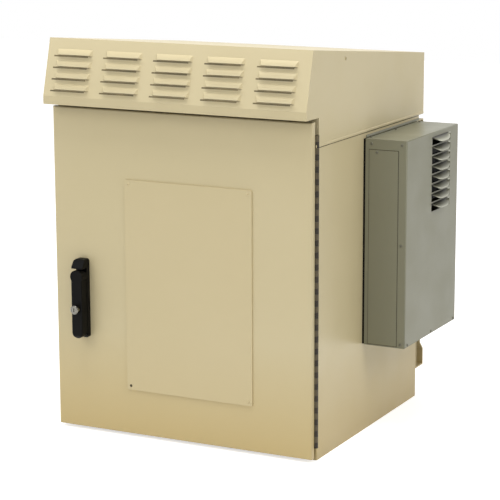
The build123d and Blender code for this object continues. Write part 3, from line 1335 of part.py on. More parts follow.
# Air conditioner: seal, chassis plate, folded cover, access panel and inside grille
ac_y = (AC_Y0, AC_Y1)
ac_z = (AC_Z0, AC_Z1)
plate_x = (AC_X0, AC_X0 + AC_PLATE_T)
with BuildPart() as ac_gasket:
    with BuildSketch(Plane.YZ.offset(HALF_W)):
        with Locations(((AC_Y0 + AC_Y1) / 2, (AC_Z0 + AC_Z1) / 2)):
            Rectangle(AC_Y1 - AC_Y0 - 2, AC_Z1 - AC_Z0 - 2)
            Rectangle(AC_Y1 - AC_Y0 - 2 * AC_GASKET_W, AC_Z1 - AC_Z0 - 2 * AC_GASKET_W, mode=Mode.SUBTRACT)
    extrude(amount=AC_GASKET_T)
    with Locations(*ac_bolt_spots):
        Cylinder(AC_BOLT_R + BOLT_HOLE_GAP, 3 * AC_GASKET_T, rotation=(0, 90, 0), mode=Mode.SUBTRACT)
finish(ac_gasket, "ac_gasket")

vent_y = (FRONT + AC_VENT_IN0, FRONT + AC_VENT_IN1)
vent_z = (AC_VENT_Z0, AC_VENT_Z1)
cord_y = FRONT + AC_CORD_IN
with BuildPart() as ac_base_plate:
    block(plate_x, (AC_Y0 + AC_SHEET, AC_Y1 - AC_SHEET), (AC_Z0 + AC_SHEET, AC_Z1 - AC_SHEET))
    block((AC_X0 - 1, AC_X1), vent_y, vent_z, Mode.SUBTRACT)
    with Locations(*ac_bolt_spots):
        Cylinder(AC_BOLT_R + BOLT_HOLE_GAP, 8 * AC_PLATE_T, rotation=(0, 90, 0), mode=Mode.SUBTRACT)
    with Locations((AC_X0, cord_y, AC_CORD_Z)):
        Cylinder(CORD_R + AC_STACK_GAP, 8 * AC_PLATE_T, rotation=(0, 90, 0), mode=Mode.SUBTRACT)
finish(ac_base_plate, "ac_base_plate")

blade_y = FRONT + AC_BLADE_IN
blade_z = [AC_BLADE_TOP_Z - AC_BLADE_PITCH * row for row in range(AC_BLADE_COUNT)]
ac_blade = vent_blade(AC_BLADE_LENGTH, AC_BLADE_REACH, AC_BLADE_DROP, AC_BLADE_TAPER, AC_SHEET)
outer_plane = Plane.YZ.offset(AC_X1)
cover_in_x = AC_X1 - AC_SHEET
with BuildPart() as ac_cover:
    block((AC_X0, AC_X1), ac_y, ac_z)
    fillet(ac_cover.faces().sort_by(Axis.X)[-1].edges(), AC_BEND_R)
    block(
        (AC_X0 - 1, cover_in_x),
        (AC_Y0 + AC_SHEET, AC_Y1 - AC_SHEET),
        (AC_Z0 + AC_SHEET, AC_Z1 - AC_SHEET),
        Mode.SUBTRACT,
    )
    for root_z in blade_z:
        block(
            (cover_in_x - 1, AC_X1 + 1),
            (blade_y - AC_BLADE_LENGTH / 2, blade_y + AC_BLADE_LENGTH / 2),
            (root_z - AC_BLADE_SLOT, root_z),
            Mode.SUBTRACT,
        )
    for root_z in blade_z:
        add(outer_plane.location * Pos(blade_y, root_z, 0) * ac_blade)
finish(ac_cover, "ac_cover")

with BuildPart() as ac_access_panel:
    block(
        (HALF_W + AC_PANEL_X0, HALF_W + AC_PANEL_X1),
        (AC_Y0 - AC_PANEL_T, AC_Y0),
        (AC_Z0 + AC_BEND_R + 1, AC_PANEL_Z1),
    )
finish(ac_access_panel, "ac_access_panel")

with BuildPart() as ac_inner_grille:
    with BuildSketch(Plane.YZ.offset(AC_X0)):
        with Locations((sum(vent_y) / 2, sum(vent_z) / 2)):
            Rectangle(vent_y[1] - vent_y[0] - 0.6, vent_z[1] - vent_z[0] - 0.6)
            Rectangle(vent_y[1] - vent_y[0] - 8, vent_z[1] - vent_z[0] - 8, mode=Mode.SUBTRACT)
            with GridLocations(0, (vent_z[1] - vent_z[0]) / (GRILLE_SLATS + 1), 1, GRILLE_SLATS):
                Rectangle(vent_y[1] - vent_y[0] - 6, 3.5)
    extrude(amount=AC_PLATE_T)
finish(ac_inner_grille, "ac_inner_grille")

# Inside the air conditioner: a divider, two coils, two fans and a compressor
with BuildPart() as ac_divider:
    block(
        (plate_x[1] + AC_STACK_GAP, cover_in_x - AC_STACK_GAP),
        (FRONT + AC_PARTITION_IN, FRONT + AC_PARTITION_IN + AC_SHEET),
        (AC_Z0 + AC_SHEET + AC_STACK_GAP, AC_Z1 - AC_SHEET - AC_STACK_GAP),
    )
finish(ac_divider, "ac_divider")

cold_coil_x = plate_x[1] + AC_STACK_GAP
warm_coil_x = cover_in_x - AC_STACK_GAP - COIL_T
fans = (
    ("cold", FAN_IN_COLD, FAN_Z_COLD, cold_coil_x, cold_coil_x + COIL_T + AC_STACK_GAP, 1),
    ("warm", FAN_IN_WARM, FAN_Z_WARM, warm_coil_x, warm_coil_x - AC_STACK_GAP, -1),
)
with BuildPart() as ac_coils:
    for name, fan_in, fan_z, coil_x, frame_x, way in fans:
        with BuildSketch(Plane.YZ.offset(coil_x)):
            with Locations((FRONT + fan_in, fan_z)):
                Rectangle(FAN_FRAME, FAN_FRAME)
                with GridLocations(FAN_FRAME / (COIL_FINS + 1), 0, COIL_FINS, 1):
                    Rectangle(FAN_FRAME / (COIL_FINS + 1) * 0.5, FAN_FRAME * 0.86, mode=Mode.SUBTRACT)
        extrude(amount=COIL_T)
finish(ac_coils, "ac_coils")

for name, fan_in, fan_z, coil_x, frame_x, way in fans:
    fan_y = FRONT + fan_in
    fan_back = frame_x + way * FAN_T
    with BuildPart() as fan_frame:
        with BuildSketch(Plane.YZ.offset(min(frame_x, fan_back))):
            with Locations((fan_y, fan_z)):
                RectangleRounded(FAN_FRAME, FAN_FRAME, 6)
                Circle(FAN_R + FAN_TIP_GAP, mode=Mode.SUBTRACT)
        extrude(amount=FAN_T)
        with BuildSketch(Plane.YZ.offset(fan_back)):
            with Locations((fan_y, fan_z)):
                Rectangle(FAN_FRAME - 4, FAN_ARM)
                Rectangle(FAN_ARM, FAN_FRAME - 4)
                Circle(FAN_HUB_R)
                Circle(FAN_SHAFT_R + SHAFT_FIT, mode=Mode.SUBTRACT)
        extrude(amount=-way * FAN_MOTOR_T)
    finish(fan_frame, f"ac_fan_frame_{name}")

    hub_x = fan_back - way * (FAN_MOTOR_T + 0.5)
    hub_depth = FAN_T - FAN_MOTOR_T - 2
    with BuildPart() as fan_rotor:
        with BuildSketch(Plane.YZ.offset(hub_x)):
            with Locations((fan_y, fan_z)):
                Circle(FAN_HUB_R)
        extrude(amount=-way * hub_depth)
        with BuildSketch(Plane.YZ.offset(fan_back)):
            with Locations((fan_y, fan_z)):
                Circle(FAN_SHAFT_R)
        extrude(amount=-way * (FAN_MOTOR_T + 1))
        for blade in range(FAN_BLADES):
            turn = 2 * pi * blade / FAN_BLADES
            pitch = radians(FAN_BLADE_PITCH)
            pitched = Plane(
                origin=(hub_x - way * hub_depth / 2, fan_y, fan_z),
                x_dir=(0, cos(turn), sin(turn)),
                z_dir=(cos(pitch), -sin(turn) * sin(pitch), cos(turn) * sin(pitch)),
            )
            with BuildSketch(pitched):
                Polygon(
                    (FAN_HUB_R - 2, -8),
                    (FAN_R - 2, -10),
                    (FAN_R - 2, 10),
                    (FAN_HUB_R - 2, 8),
                    align=None,
                )
            extrude(amount=0.8, both=True)
    finish(fan_rotor, f"ac_fan_{name}")

with BuildPart() as ac_compressor:
    compressor_x = (plate_x[1] + cover_in_x) / 2
    with BuildSketch(Plane.XY.offset(AC_Z0 + AC_SHEET + AC_STACK_GAP)):
        with Locations((compressor_x, FRONT + COMPRESSOR_IN)):
            Rectangle(2 * COMPRESSOR_R, 2 * COMPRESSOR_R)
    extrude(amount=3)
    with BuildSketch(Plane.XY.offset(AC_Z0 + AC_SHEET + AC_STACK_GAP + 3)):
        with Locations((compressor_x, FRONT + COMPRESSOR_IN)):
            Circle(COMPRESSOR_R)
    extrude(amount=COMPRESSOR_H)
    fillet(ac_compressor.edges().sort_by(Axis.Z)[-1], 12)
finish(ac_compressor, "ac_compressor")

# Wall bolts: the air conditioner's, with nuts on the lining, and the hat brackets' heads
with BuildPart() as wall_bolts:
    for _, y, z in ac_bolt_spots:
        with BuildSketch(Plane.YZ.offset(plate_x[1])):
            with Locations((y, z)):
                Circle(AC_BOLT_R + 2)
        extrude(amount=3)
        with BuildSketch(Plane.YZ.offset(LINER_X - AC_NUT_T - 4)):
            with Locations((y, z)):
                Circle(AC_BOLT_R)
        extrude(amount=plate_x[1] - LINER_X + AC_NUT_T + 4)
        with BuildSketch(Plane.YZ.offset(LINER_X - AC_NUT_T)):
            with Locations((y, z)):
                RegularPolygon(AC_NUT_R, 6)
        extrude(amount=AC_NUT_T)
    for side in (-1, 1):
        for centre_z in BRACKET_Z:
            for sign in (-1, 1):
                for inset in (BRACKET_IN0 + 16, BRACKET_IN1 - 16):
                    seat = Plane(
                        origin=(
                            side * (LINER_X - BRACKET_SHEET),
                            FRONT + inset,
                            centre_z + sign * (BRACKET_H / 2 + BRACKET_FLANGE / 2),
                        ),
                        z_dir=(-side, 0, 0),
                    )
                    with BuildSketch(seat):
                        RegularPolygon(AC_NUT_R, 6)
                    extrude(amount=AC_NUT_T)
finish(wall_bolts, "wall_bolts")

# Pan-head screws on the cabinet and on the air conditioner
with BuildPart() as panel_screws:
    for inset in TOP_RAIL_SCREW_INSETS:
        screw_head(Plane(origin=(-HALF_W + inset, FRONT, (LIP_OUT_Z1 + BODY_H) / 2), z_dir=(0, -1, 0)))
    for side in (-1, 1):
        at = (side * HOOD_X, FRONT + HOOD_SCREW_IN, BODY_H + HOOD_SCREW_UP)
        screw_head(Plane(origin=at, z_dir=(side, 0, 0)))
    for inset in AC_SCREW_IN:
        top_seat = Plane(origin=(AC_X0 + 6, FRONT + inset, AC_Z1), z_dir=(0, 0, 1))
        screw_head(top_seat, SMALL_HEAD_R, SMALL_HEAD_T)
        side_seat = Plane(
            origin=(AC_X1, FRONT + inset, AC_Z0 + AC_BEND_R + SMALL_HEAD_R + 0.2),
            z_dir=(1, 0, 0),
        )
        screw_head(side_seat, SMALL_HEAD_R, SMALL_HEAD_T)
    for out, up in AC_FRONT_SCREWS:
        front_seat = Plane(origin=(HALF_W + out, AC_Y0, AC_Z0 + up), z_dir=(0, -1, 0))
        screw_head(front_seat, SMALL_HEAD_R, SMALL_HEAD_T)
    panel_seat = Plane(
        origin=(HALF_W + AC_PANEL_SCREW, AC_Y0 - AC_PANEL_T, AC_PANEL_Z1 - 5),
        z_dir=(0, -1, 0),
    )
    screw_head(panel_seat, SMALL_HEAD_R, SMALL_HEAD_T)
finish(panel_screws, "panel_screws")

# Supply lead: a moulded relief, a short free run, a flat hank and its plug
relief_x = AC_X0 - RELIEF_FLANGE_T
relief_end_x = relief_x - RELIEF_L
with BuildPart() as cord_relief:
    with BuildSketch(Plane.YZ.offset(relief_x)):
        with Locations((cord_y, AC_CORD_Z)):
            RegularPolygon(RELIEF_FLANGE_R, 6)
    extrude(amount=RELIEF_FLANGE_T)
    with BuildSketch(Plane.YZ.offset(relief_x)):
        with Locations((cord_y, AC_CORD_Z)):
            Circle(RELIEF_R)
    extrude(amount=-RELIEF_L, taper=degrees(atan2(RELIEF_R - CORD_R - 1, RELIEF_L)))
finish(cord_relief, "cord_relief")

hank_x1 = LINER_X - AC_STACK_GAP
hank_x0 = hank_x1 - HANK_T
hank_x = (hank_x0 + hank_x1) / 2
hank_y = FRONT + HANK_IN
cord_route = [
    (relief_end_x, cord_y, AC_CORD_Z),
    (relief_end_x - 16, cord_y, AC_CORD_Z),
    (relief_end_x - 30, cord_y + 3, AC_CORD_Z - 6.5),
    (relief_end_x - 37.5, cord_y + 9, AC_CORD_Z - 21),
    (relief_end_x - 35, cord_y + 17, AC_CORD_Z - 38.5),
    (hank_x - 21.7, hank_y - 11, HANK_TOP_Z + 41),
    (hank_x - 8.2, hank_y - 3, HANK_TOP_Z + 28),
    (hank_x, hank_y, HANK_TOP_Z + 15),
    (hank_x, hank_y, HANK_TOP_Z),
]
cord_radii = []
for before, here, after in zip(cord_route, cord_route[1:], cord_route[2:]):
    run_in = Vector(*here) - Vector(*before)
    run_out = Vector(*after) - Vector(*here)
    turn = radians(run_in.get_angle(run_out))
    cord_radii.append(0.45 * min(run_in.length, run_out.length) / tan(turn / 2))
print("cord radii", [round(radius, 1) for radius in cord_radii])
with BuildPart() as power_cord:
    with BuildLine() as cord_line:
        FilletPolyline(*cord_route, radius=cord_radii)
    with BuildSketch(Plane(origin=cord_line.line @ 0, z_dir=cord_line.line % 0)):
        Circle(CORD_R)
    sweep(path=cord_line.line)
cord_length = sum(edge.length for edge in cord_line.line.edges())
print("cord volume", round(power_cord.part.volume), "by length", round(pi * CORD_R ** 2 * cord_length))
finish(power_cord, "power_cord")

with BuildPart() as cord_hank:
    with BuildSketch(Plane.YZ.offset(hank_x0)):
        with BuildLine():
            low_z = HANK_BOTTOM_Z + HANK_R
            neck_z = HANK_TOP_Z - HANK_NECK_R
            lean = atan2(HANK_R - HANK_NECK_R, neck_z - low_z)
            right_low = (hank_y + HANK_R * cos(lean), low_z + HANK_R * sin(lean))
            left_low = (hank_y - HANK_R * cos(lean), low_z + HANK_R * sin(lean))
            right_top = (hank_y + HANK_NECK_R * cos(lean), neck_z + HANK_NECK_R * sin(lean))
            left_top = (hank_y - HANK_NECK_R * cos(lean), neck_z + HANK_NECK_R * sin(lean))
            Line(right_low, right_top)
            Line(right_top, (hank_y + HANK_NECK_R * 0.6, HANK_TOP_Z))
            Line((hank_y + HANK_NECK_R * 0.6, HANK_TOP_Z), (hank_y - HANK_NECK_R * 0.6, HANK_TOP_Z))
            Line((hank_y - HANK_NECK_R * 0.6, HANK_TOP_Z), left_top)
            Line(left_top, left_low)
            ThreePointArc(left_low, (hank_y, HANK_BOTTOM_Z), right_low)
        make_face()
    extrude(amount=HANK_T)
finish(cord_hank, "cord_hank")

with BuildPart() as cord_plug:
    with BuildSketch(Plane.XY.offset(HANK_BOTTOM_Z)):
        with Locations((hank_x, hank_y)):
            Circle(PLUG_R - 3)
    extrude(amount=-PLUG_L * 0.6)
    with BuildSketch(Plane.XY.offset(HANK_BOTTOM_Z - PLUG_L * 0.4)):
        with Locations((hank_x, hank_y)):
            Circle(PLUG_R)
    extrude(amount=-PLUG_L * 0.6)
finish(cord_plug, "cord_plug")
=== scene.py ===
# %% [markdown]
# # A roadside cabinet, dressed around its CAD frame
#
# The cabinet's sheet metal, rails, latch and hinges come from CAD and stay as they are.
# This lesson adds what CAD left plain: paint and metal finishes, quilted foil blankets,
# a foam seal, a rubber lead in its hank, curved louvres, fine lines of painted shade and
# small fasteners.
# Everything is in metres, in the frame of the CAD model: +Z up, the door looks to -Y.

import json
import math

import bmesh
import bpy
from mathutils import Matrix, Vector, noise


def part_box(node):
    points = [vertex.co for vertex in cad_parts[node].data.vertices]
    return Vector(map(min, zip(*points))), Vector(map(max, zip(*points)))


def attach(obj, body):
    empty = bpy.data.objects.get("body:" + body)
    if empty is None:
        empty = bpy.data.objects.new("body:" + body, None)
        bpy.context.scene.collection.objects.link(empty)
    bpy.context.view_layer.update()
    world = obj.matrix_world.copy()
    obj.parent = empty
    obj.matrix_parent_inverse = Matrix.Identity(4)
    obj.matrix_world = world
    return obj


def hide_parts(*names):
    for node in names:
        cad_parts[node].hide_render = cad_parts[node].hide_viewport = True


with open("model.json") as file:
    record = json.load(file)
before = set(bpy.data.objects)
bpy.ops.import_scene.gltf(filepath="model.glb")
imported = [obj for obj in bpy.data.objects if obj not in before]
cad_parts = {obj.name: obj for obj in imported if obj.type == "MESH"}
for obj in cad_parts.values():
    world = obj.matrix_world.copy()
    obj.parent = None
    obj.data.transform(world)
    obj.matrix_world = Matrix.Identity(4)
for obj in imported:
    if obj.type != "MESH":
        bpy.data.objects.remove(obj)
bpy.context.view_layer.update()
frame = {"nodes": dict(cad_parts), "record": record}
nodes = frame["nodes"]

# %% [markdown]
# ## The camera
#
# The picture was solved as a perspective view of a box of known width, which gives the
# place, the turn and the focal length of the camera that took it. A long lens and a small
# shift put the cabinet in the frame as the photographer had it, with little convergence.

# %% Camera
CAMERA_PLACE = (1.9083, -3.7054, 1.2377)
CAMERA_TURN = (math.radians(78.4), 0.0, math.radians(26.14))
CAMERA_LENS = 137.6
CAMERA_SHIFT = (-0.0616, -0.0133)
CAMERA_REACH = 60


def add_object(name, data):
    """An object that shows some data, linked into the scene."""
    made = bpy.data.objects.new(name, data)
    bpy.context.scene.collection.objects.link(made)
    return made


camera_data = bpy.data.cameras.new("camera")
camera_data.lens = CAMERA_LENS
camera_data.shift_x, camera_data.shift_y = CAMERA_SHIFT
camera_data.clip_end = CAMERA_REACH
camera = add_object("camera", camera_data)
camera.location = CAMERA_PLACE
camera.rotation_euler = CAMERA_TURN
bpy.context.scene.camera = camera
print("camera at", CAMERA_PLACE)

# %% [markdown]
# ## The supply lead and its hank
#
# A black rubber lead leaves the air conditioner through its strain relief, bends down and
# hangs in a tied hank with its plug below. A lead is one smooth curve of a fixed length,
# so it is drawn as one NURBS curve. Its first points go down to the hank. The others wind
# a flat double coil from arcs and short straights: half turns that shrink in one layer,
# a crossing, and half turns that grow again in the other layer.

# %% Route from the relief to the top of the hank
CORD_R = 0.0035
cord_route = [
    (0.2800, 0.0150, 0.4300), (0.2680, 0.0150, 0.4300), (0.2575, 0.0162, 0.4275),
    (0.2490, 0.0195, 0.4205), (0.2445, 0.0240, 0.4115), (0.2430, 0.0285, 0.4015),
    (0.2445, 0.0330, 0.3925), (0.2488, 0.0378, 0.3840), (0.2550, 0.0420, 0.3760),
    (0.2620, 0.0460, 0.3680), (0.2690, 0.0492, 0.3595), (0.2745, 0.0512, 0.3505),
]
print("the lead leaves its relief at", cord_route[0])

# %% [markdown]
# A move is (radius, degrees) for an arc and (0, length) for a straight.

# %% Moves that wind the hank
HANK_Y = 0.052
HANK_TOP = 0.3416
HANK_R = 0.0415
HANK_SIDE = 0.006
HALF_PITCH = 0.00375
HALF_TURNS = 5
ENTRY_R = 0.0255
ENTRY_TURN = math.degrees(math.acos(1 - HANK_R / (ENTRY_R + HANK_R)))
LEAVE_R = 0.0245
LEAVE_TURN = math.degrees(math.acos(1 - HANK_R / (2 * LEAVE_R)))
inward_turns = [HANK_R - HALF_PITCH * step for step in range(HALF_TURNS)]
hank_moves = [(ENTRY_R, ENTRY_TURN), (-HANK_R, ENTRY_TURN)]
for radius in inward_turns + inward_turns[::-1]:
    hank_moves += [(0, HANK_SIDE), (-radius, 180)]
hank_moves += [(0, HANK_SIDE), (-LEAVE_R, LEAVE_TURN), (LEAVE_R, LEAVE_TURN)]
print("the hank has", len(hank_moves), "moves")

# %% Following the moves
TURN_STEP = 0.008
DOWNWARDS = -90


def move_length(move):
    """How long a move is: a straight gives it, an arc has its radius and its angle."""
    radius, amount = move
    return abs(radius) * math.radians(amount) if radius else amount


def follow(start, heading, moves):
    """Points along the moves, each with its distance first. A positive radius turns left."""
    y, z = start
    direction = math.radians(heading)
    along = 0.0
    points = [(along, y, z)]
    for radius, amount in moves:
        length = move_length((radius, amount))
        count = max(1, round(length / TURN_STEP))
        step = length / count
        bend = step / radius if radius else 0.0
        chord = 2 * radius * math.sin(bend / 2) if radius else step
        for _ in range(count):
            direction += bend / 2
            y += chord * math.cos(direction)
            z += chord * math.sin(direction)
            direction += bend / 2
            along += step
            points.append((along, y, z))
    return points


flat_route = follow((HANK_Y, HANK_TOP), DOWNWARDS, hank_moves)
print("the hank's route has", len(flat_route), "points")

# %% Which layer each stretch lies in
INNER_X, MIDDLE_X, OUTER_X = 0.2700, 0.2777, 0.2854
LAYER_EASE = 0.030
CROSSED_EARLY = 0.005
LEFT_LATE = 0.014


def layer_at(along, stops):
    """The strand's layer at a distance along it, with a gentle change between two stops."""
    for (start, first), (end, second) in zip(stops, stops[1:]):
        if along <= end:
            share = (along - start) / (end - start)
            return first + (second - first) * share * share * (3 - 2 * share)
    return stops[-1][1]


ends = [0.0]
for move in hank_moves:
    ends.append(ends[-1] + move_length(move))
turn_ends = ends[4:-3:2]  # the entry takes two moves, and then each half turn two
cross_from = turn_ends[HALF_TURNS - 1] - math.pi / 2 * inward_turns[-1]
layer_stops = [
    (0.0, MIDDLE_X), (ends[1], MIDDLE_X), (ends[2] + LAYER_EASE, INNER_X),
    (cross_from, INNER_X), (turn_ends[HALF_TURNS] - CROSSED_EARLY, OUTER_X),
    (turn_ends[-1] - LAYER_EASE, OUTER_X), (ends[-3] + LEFT_LATE, MIDDLE_X),
    (ends[-1], MIDDLE_X),
]
hank_route = [(layer_at(along, layer_stops), y, z) for along, y, z in flat_route]
print("the lead changes its layer at", [round(stop[0], 3) for stop in layer_stops])

# %% The lead as one curve


def smooth_curve(name, points, radius):
    """A round cord along a NURBS spline that these points steer."""
    data = bpy.data.curves.new(name, "CURVE")
    data.dimensions = "3D"
    spline = data.splines.new("NURBS")
    spline.points.add(len(points) - 1)
    for point, place in zip(spline.points, points):
        point.co = (*place, 1.0)
    spline.use_endpoint_u = True
    spline.order_u = 3
    spline.resolution_u = 6
    data.bevel_depth = radius
    data.bevel_resolution = 5
    data.use_fill_caps = True
    return add_object(name, data)


def curve_length(piece):
    """The real length of a curve piece, measured on the curve without its thickness."""
    bare = add_object("bare_curve", piece.data.copy())
    bare.data.bevel_depth = 0
    depsgraph = bpy.context.evaluated_depsgraph_get()
    mesh = bpy.data.meshes.new_from_object(bare.evaluated_get(depsgraph))
    total = 0.0
    for edge in mesh.edges:
        start, end = (mesh.vertices[k].co for k in edge.vertices)
        total += (start - end).length
    bpy.data.objects.remove(bare)
    bpy.data.meshes.remove(mesh)
    return total


supply_lead = smooth_curve("supply_lead", cord_route + hank_route, CORD_R)
lead_length = curve_length(supply_lead)
print("supply lead length", round(lead_length, 3))

# %% [markdown]
# ## Colours and patterns that the finishes share
#
# A colour as given is on the screen's scale, and a shader wants it linear, so one helper
# converts it. The others are the few patterns that real surfaces have: cloudy
# change of tone, a fine relief, and brushing in one direction. They read Object
# coordinates, and the louvre paint a UV layer, so a pattern stays on its piece in a pose.

# %% A tone and a plain finish


def tone(red, green, blue):
    """A colour given on a scale of 0 to 255, as the linear values of a shader."""
    values = []
    for level in (red, green, blue):
        level = level / 255
        values.append(level / 12.92 if level <= 0.04045 else ((level + 0.055) / 1.055) ** 2.4)
    return (*values, 1.0)


def new_finish(name, colour, roughness, metallic=0.0, shine=0.5):
    """A material with its shader's plain values set: the tree and the shader come back too."""
    material = bpy.data.materials.new(name)
    material.use_nodes = True
    tree = material.node_tree
    shader = tree.nodes["Principled BSDF"]
    for socket, value in (
        ("Base Color", colour), ("Roughness", roughness), ("Metallic", metallic),
        ("Specular IOR Level", shine),
    ):
        shader.inputs[socket].default_value = value
    material.diffuse_color = colour
    return material, tree, shader


def colour_in(tree, shader, colour, gloss=None):
    """Links a pattern of colour, and of gloss if there is one, to the shader."""
    tree.links.new(colour, shader.inputs["Base Color"])
    if gloss is not None:
        tree.links.new(gloss, shader.inputs["Roughness"])


def add_node(tree, kind, inputs):
    """A shader node. Each input is a plain value or another node's output."""
    node = tree.nodes.new("ShaderNode" + kind)
    for socket, value in inputs.items():
        if isinstance(value, bpy.types.NodeSocket):
            tree.links.new(value, node.inputs[socket])
        else:
            node.inputs[socket].default_value = value
    return node


print("white is", tone(255, 255, 255))

# %% Where a point is


def place_of(tree, stretch=(1, 1, 1)):
    """The point on the piece, stretched along its axes: a small number makes long streaks."""
    point = add_node(tree, "TexCoord", {}).outputs["Object"]
    return add_node(tree, "Mapping", {"Vector": point, "Scale": stretch}).outputs["Vector"]


def parts_of(tree, vector):
    """The X, Y and Z of a vector. On a piece they are metres, and Z is the height."""
    return add_node(tree, "SeparateXYZ", {"Vector": vector}).outputs


print("places ready")

# %% Patterns


def cloud(tree, scale, detail=3.0, stretch=(1, 1, 1), roughness=0.5):
    """Soft noise with that many patches to a metre."""
    return add_node(tree, "TexNoise", {
        "Vector": place_of(tree, stretch), "Scale": scale, "Detail": detail,
        "Roughness": roughness,
    }).outputs["Fac"]


def cells(tree, scale, feature="F1", output="Distance"):
    """Cells with that many to a metre, as spangle, foam or bubbles have."""
    pattern = add_node(tree, "TexVoronoi", {"Vector": place_of(tree), "Scale": scale})
    pattern.feature = feature
    return pattern.outputs[output]


def relief(tree, shader, height, depth, before=None):
    """Bumps of that depth in metres, on top of the ones before."""
    inputs = {"Strength": 1.0, "Distance": depth, "Height": height}
    if before is not None:
        inputs["Normal"] = before
    bumps = add_node(tree, "Bump", inputs).outputs["Normal"]
    tree.links.new(bumps, shader.inputs["Normal"])
    return bumps


print("patterns ready")

# %% Sums and blends


def maths(tree, operation, first, second=0.5):
    """One sum on values, each of them a number or another node's output."""
    node = add_node(tree, "Math", {0: first, 1: second})
    node.operation = operation
    return node.outputs[0]


def spread(tree, value, low, high, to_low=0.0, to_high=1.0):
    """Maps a value's range onto another one."""
    return add_node(tree, "MapRange", {
        "Value": value, "From Min": low, "From Max": high, "To Min": to_low, "To Max": to_high,
    }).outputs["Result"]


def between(tree, share, first, second):
    """A colour between two others. Either may be a plain colour or another node's output."""
    node = add_node(tree, "Mix", {0: share, 6: first, 7: second})
    node.data_type = "RGBA"
    return node.outputs[2]


print("sums and blends ready")

# %% [markdown]
# ## Powder coat
#
# The sheet metal is powder coated: a satin film, baked on, with a faint orange-peel
# relief. On the real cabinet it isn't one flat colour: the tone drifts slowly over a
# panel. So the colour is a cloudy blend of two close tones, with a darker, warmer band
# at the foot that is painted shade from the floor, and the relief is a fine noise.

# %% Powder-coated sheet
PEEL_GRAIN = 620
PEEL_DEPTH = 0.00005
# The heights between which the painted shade near the floor fades in.
FLOOR_SHADE_BAND = (0.24, 0.02)


def orange_peel(tree, shader):
    """The fine relief of a baked film."""
    relief(tree, shader, cloud(tree, PEEL_GRAIN, detail=2.0), PEEL_DEPTH)


def powder_coat(name, light, deep, foot_shade, roughness=0.36):
    """A satin powder coat that drifts between two tones, with painted shade towards the ground.
    """
    material, tree, shader = new_finish(name, light, roughness, shine=0.35)
    drift = spread(tree, cloud(tree, 2.2, detail=2.0), 0.35, 0.65)
    floor_shade_share = spread(tree, parts_of(tree, place_of(tree))["Z"], *FLOOR_SHADE_BAND)
    colour = between(tree, floor_shade_share, between(tree, drift, deep, light), foot_shade)
    patches = cloud(tree, 14, detail=4.0)
    worn = spread(tree, patches, 0.3, 0.7, roughness - 0.05, roughness + 0.06)
    colour_in(tree, shader, colour, worn)
    orange_peel(tree, shader)
    return material


# Each coat's third tone is the painted shade near the floor.
CREAM = powder_coat(
    "cream_powder_coat", tone(200, 187, 150), tone(197, 184, 146), tone(192, 172, 122))
PLATE_CREAM = powder_coat(
    "plate_powder_coat", tone(199, 185, 147), tone(197, 183, 144), tone(196, 180, 138))
GREY_GREEN = powder_coat(
    "air_conditioner_coat", tone(130, 129, 110), tone(124, 123, 103), tone(126, 125, 103))
FASTENER_CREAM = powder_coat(
    "fastener_coat", tone(188, 175, 138), tone(178, 166, 130), tone(176, 164, 128), 0.34)
FASTENER_GREY = powder_coat(
    "fastener_grey", tone(116, 115, 100), tone(96, 95, 82), tone(100, 99, 86), 0.3)
print("powder coats ready")

# %% Painted shade and highlight on the louvre blades
BLADE_SHADE_END = 0.62


def painted_blade_light(name, lip, middle, root):
    """Paint on a pressed louvre: painted shade where the blade leaves the sheet, a painted
    highlight at its lip.
    """
    material, tree, shader = new_finish(name, middle, 0.4, shine=0.35)
    share = parts_of(tree, add_node(tree, "TexCoord", {}).outputs["UV"])["Y"]
    colour = between(tree, spread(tree, share, 0.10, BLADE_SHADE_END), root, middle)
    colour = between(tree, spread(tree, share, BLADE_SHADE_END, 0.98), colour, lip)
    colour_in(tree, shader, colour)
    orange_peel(tree, shader)
    return material


# The root tone is painted shade and the lip tone a painted highlight.
BLADE_SHADE_AND_HIGHLIGHT = painted_blade_light(
    "louvre_painted_light", tone(178, 178, 162), tone(118, 117, 101), tone(34, 33, 27))
print("louvre paint ready")

# %% [markdown]
# ## Bare and plated metals
#
# Galvanised steel shows spangle, which is a mosaic of zinc crystals: each cell of a
# Voronoi pattern gets its own tone and its own gloss. Plated fasteners are smoother and
# brushed parts have streaks along one axis, which is noise stretched along it.

# %% Galvanised steel
SPANGLE_CELLS = 110


def galvanised(name, light, dark):
    """Zinc-coated steel with its spangle."""
    material, tree, shader = new_finish(name, light, 0.5, 0.62)
    crystals = cells(tree, SPANGLE_CELLS, output="Color")
    chance = add_node(tree, "SeparateColor", {"Color": crystals}).outputs
    colour = between(tree, chance[0], dark, light)
    colour_in(tree, shader, colour, spread(tree, chance[1], 0, 1, 0.36, 0.58))
    relief(tree, shader, cloud(tree, 300, detail=3.0), 0.00004)
    return material


GALVANISED = galvanised("galvanised_steel", tone(196, 207, 203), tone(168, 181, 178))
print("galvanised steel ready")

# %% Brushed and plated metals


def brushed_metal(name, light, dark, roughness, stretch, streaks, metallic=1.0):
    """A metal with brushing or tarnish that runs along one axis."""
    material, tree, shader = new_finish(name, light, roughness, metallic)
    streak = cloud(tree, streaks, detail=4.0, stretch=stretch)
    colour = between(tree, spread(tree, streak, 0.3, 0.7), dark, light)
    worn = spread(tree, streak, 0.25, 0.75, roughness - 0.08, roughness + 0.1)
    colour_in(tree, shader, colour, worn)
    relief(tree, shader, cloud(tree, streaks * 8, detail=2.0, stretch=stretch), 0.00003)
    return material


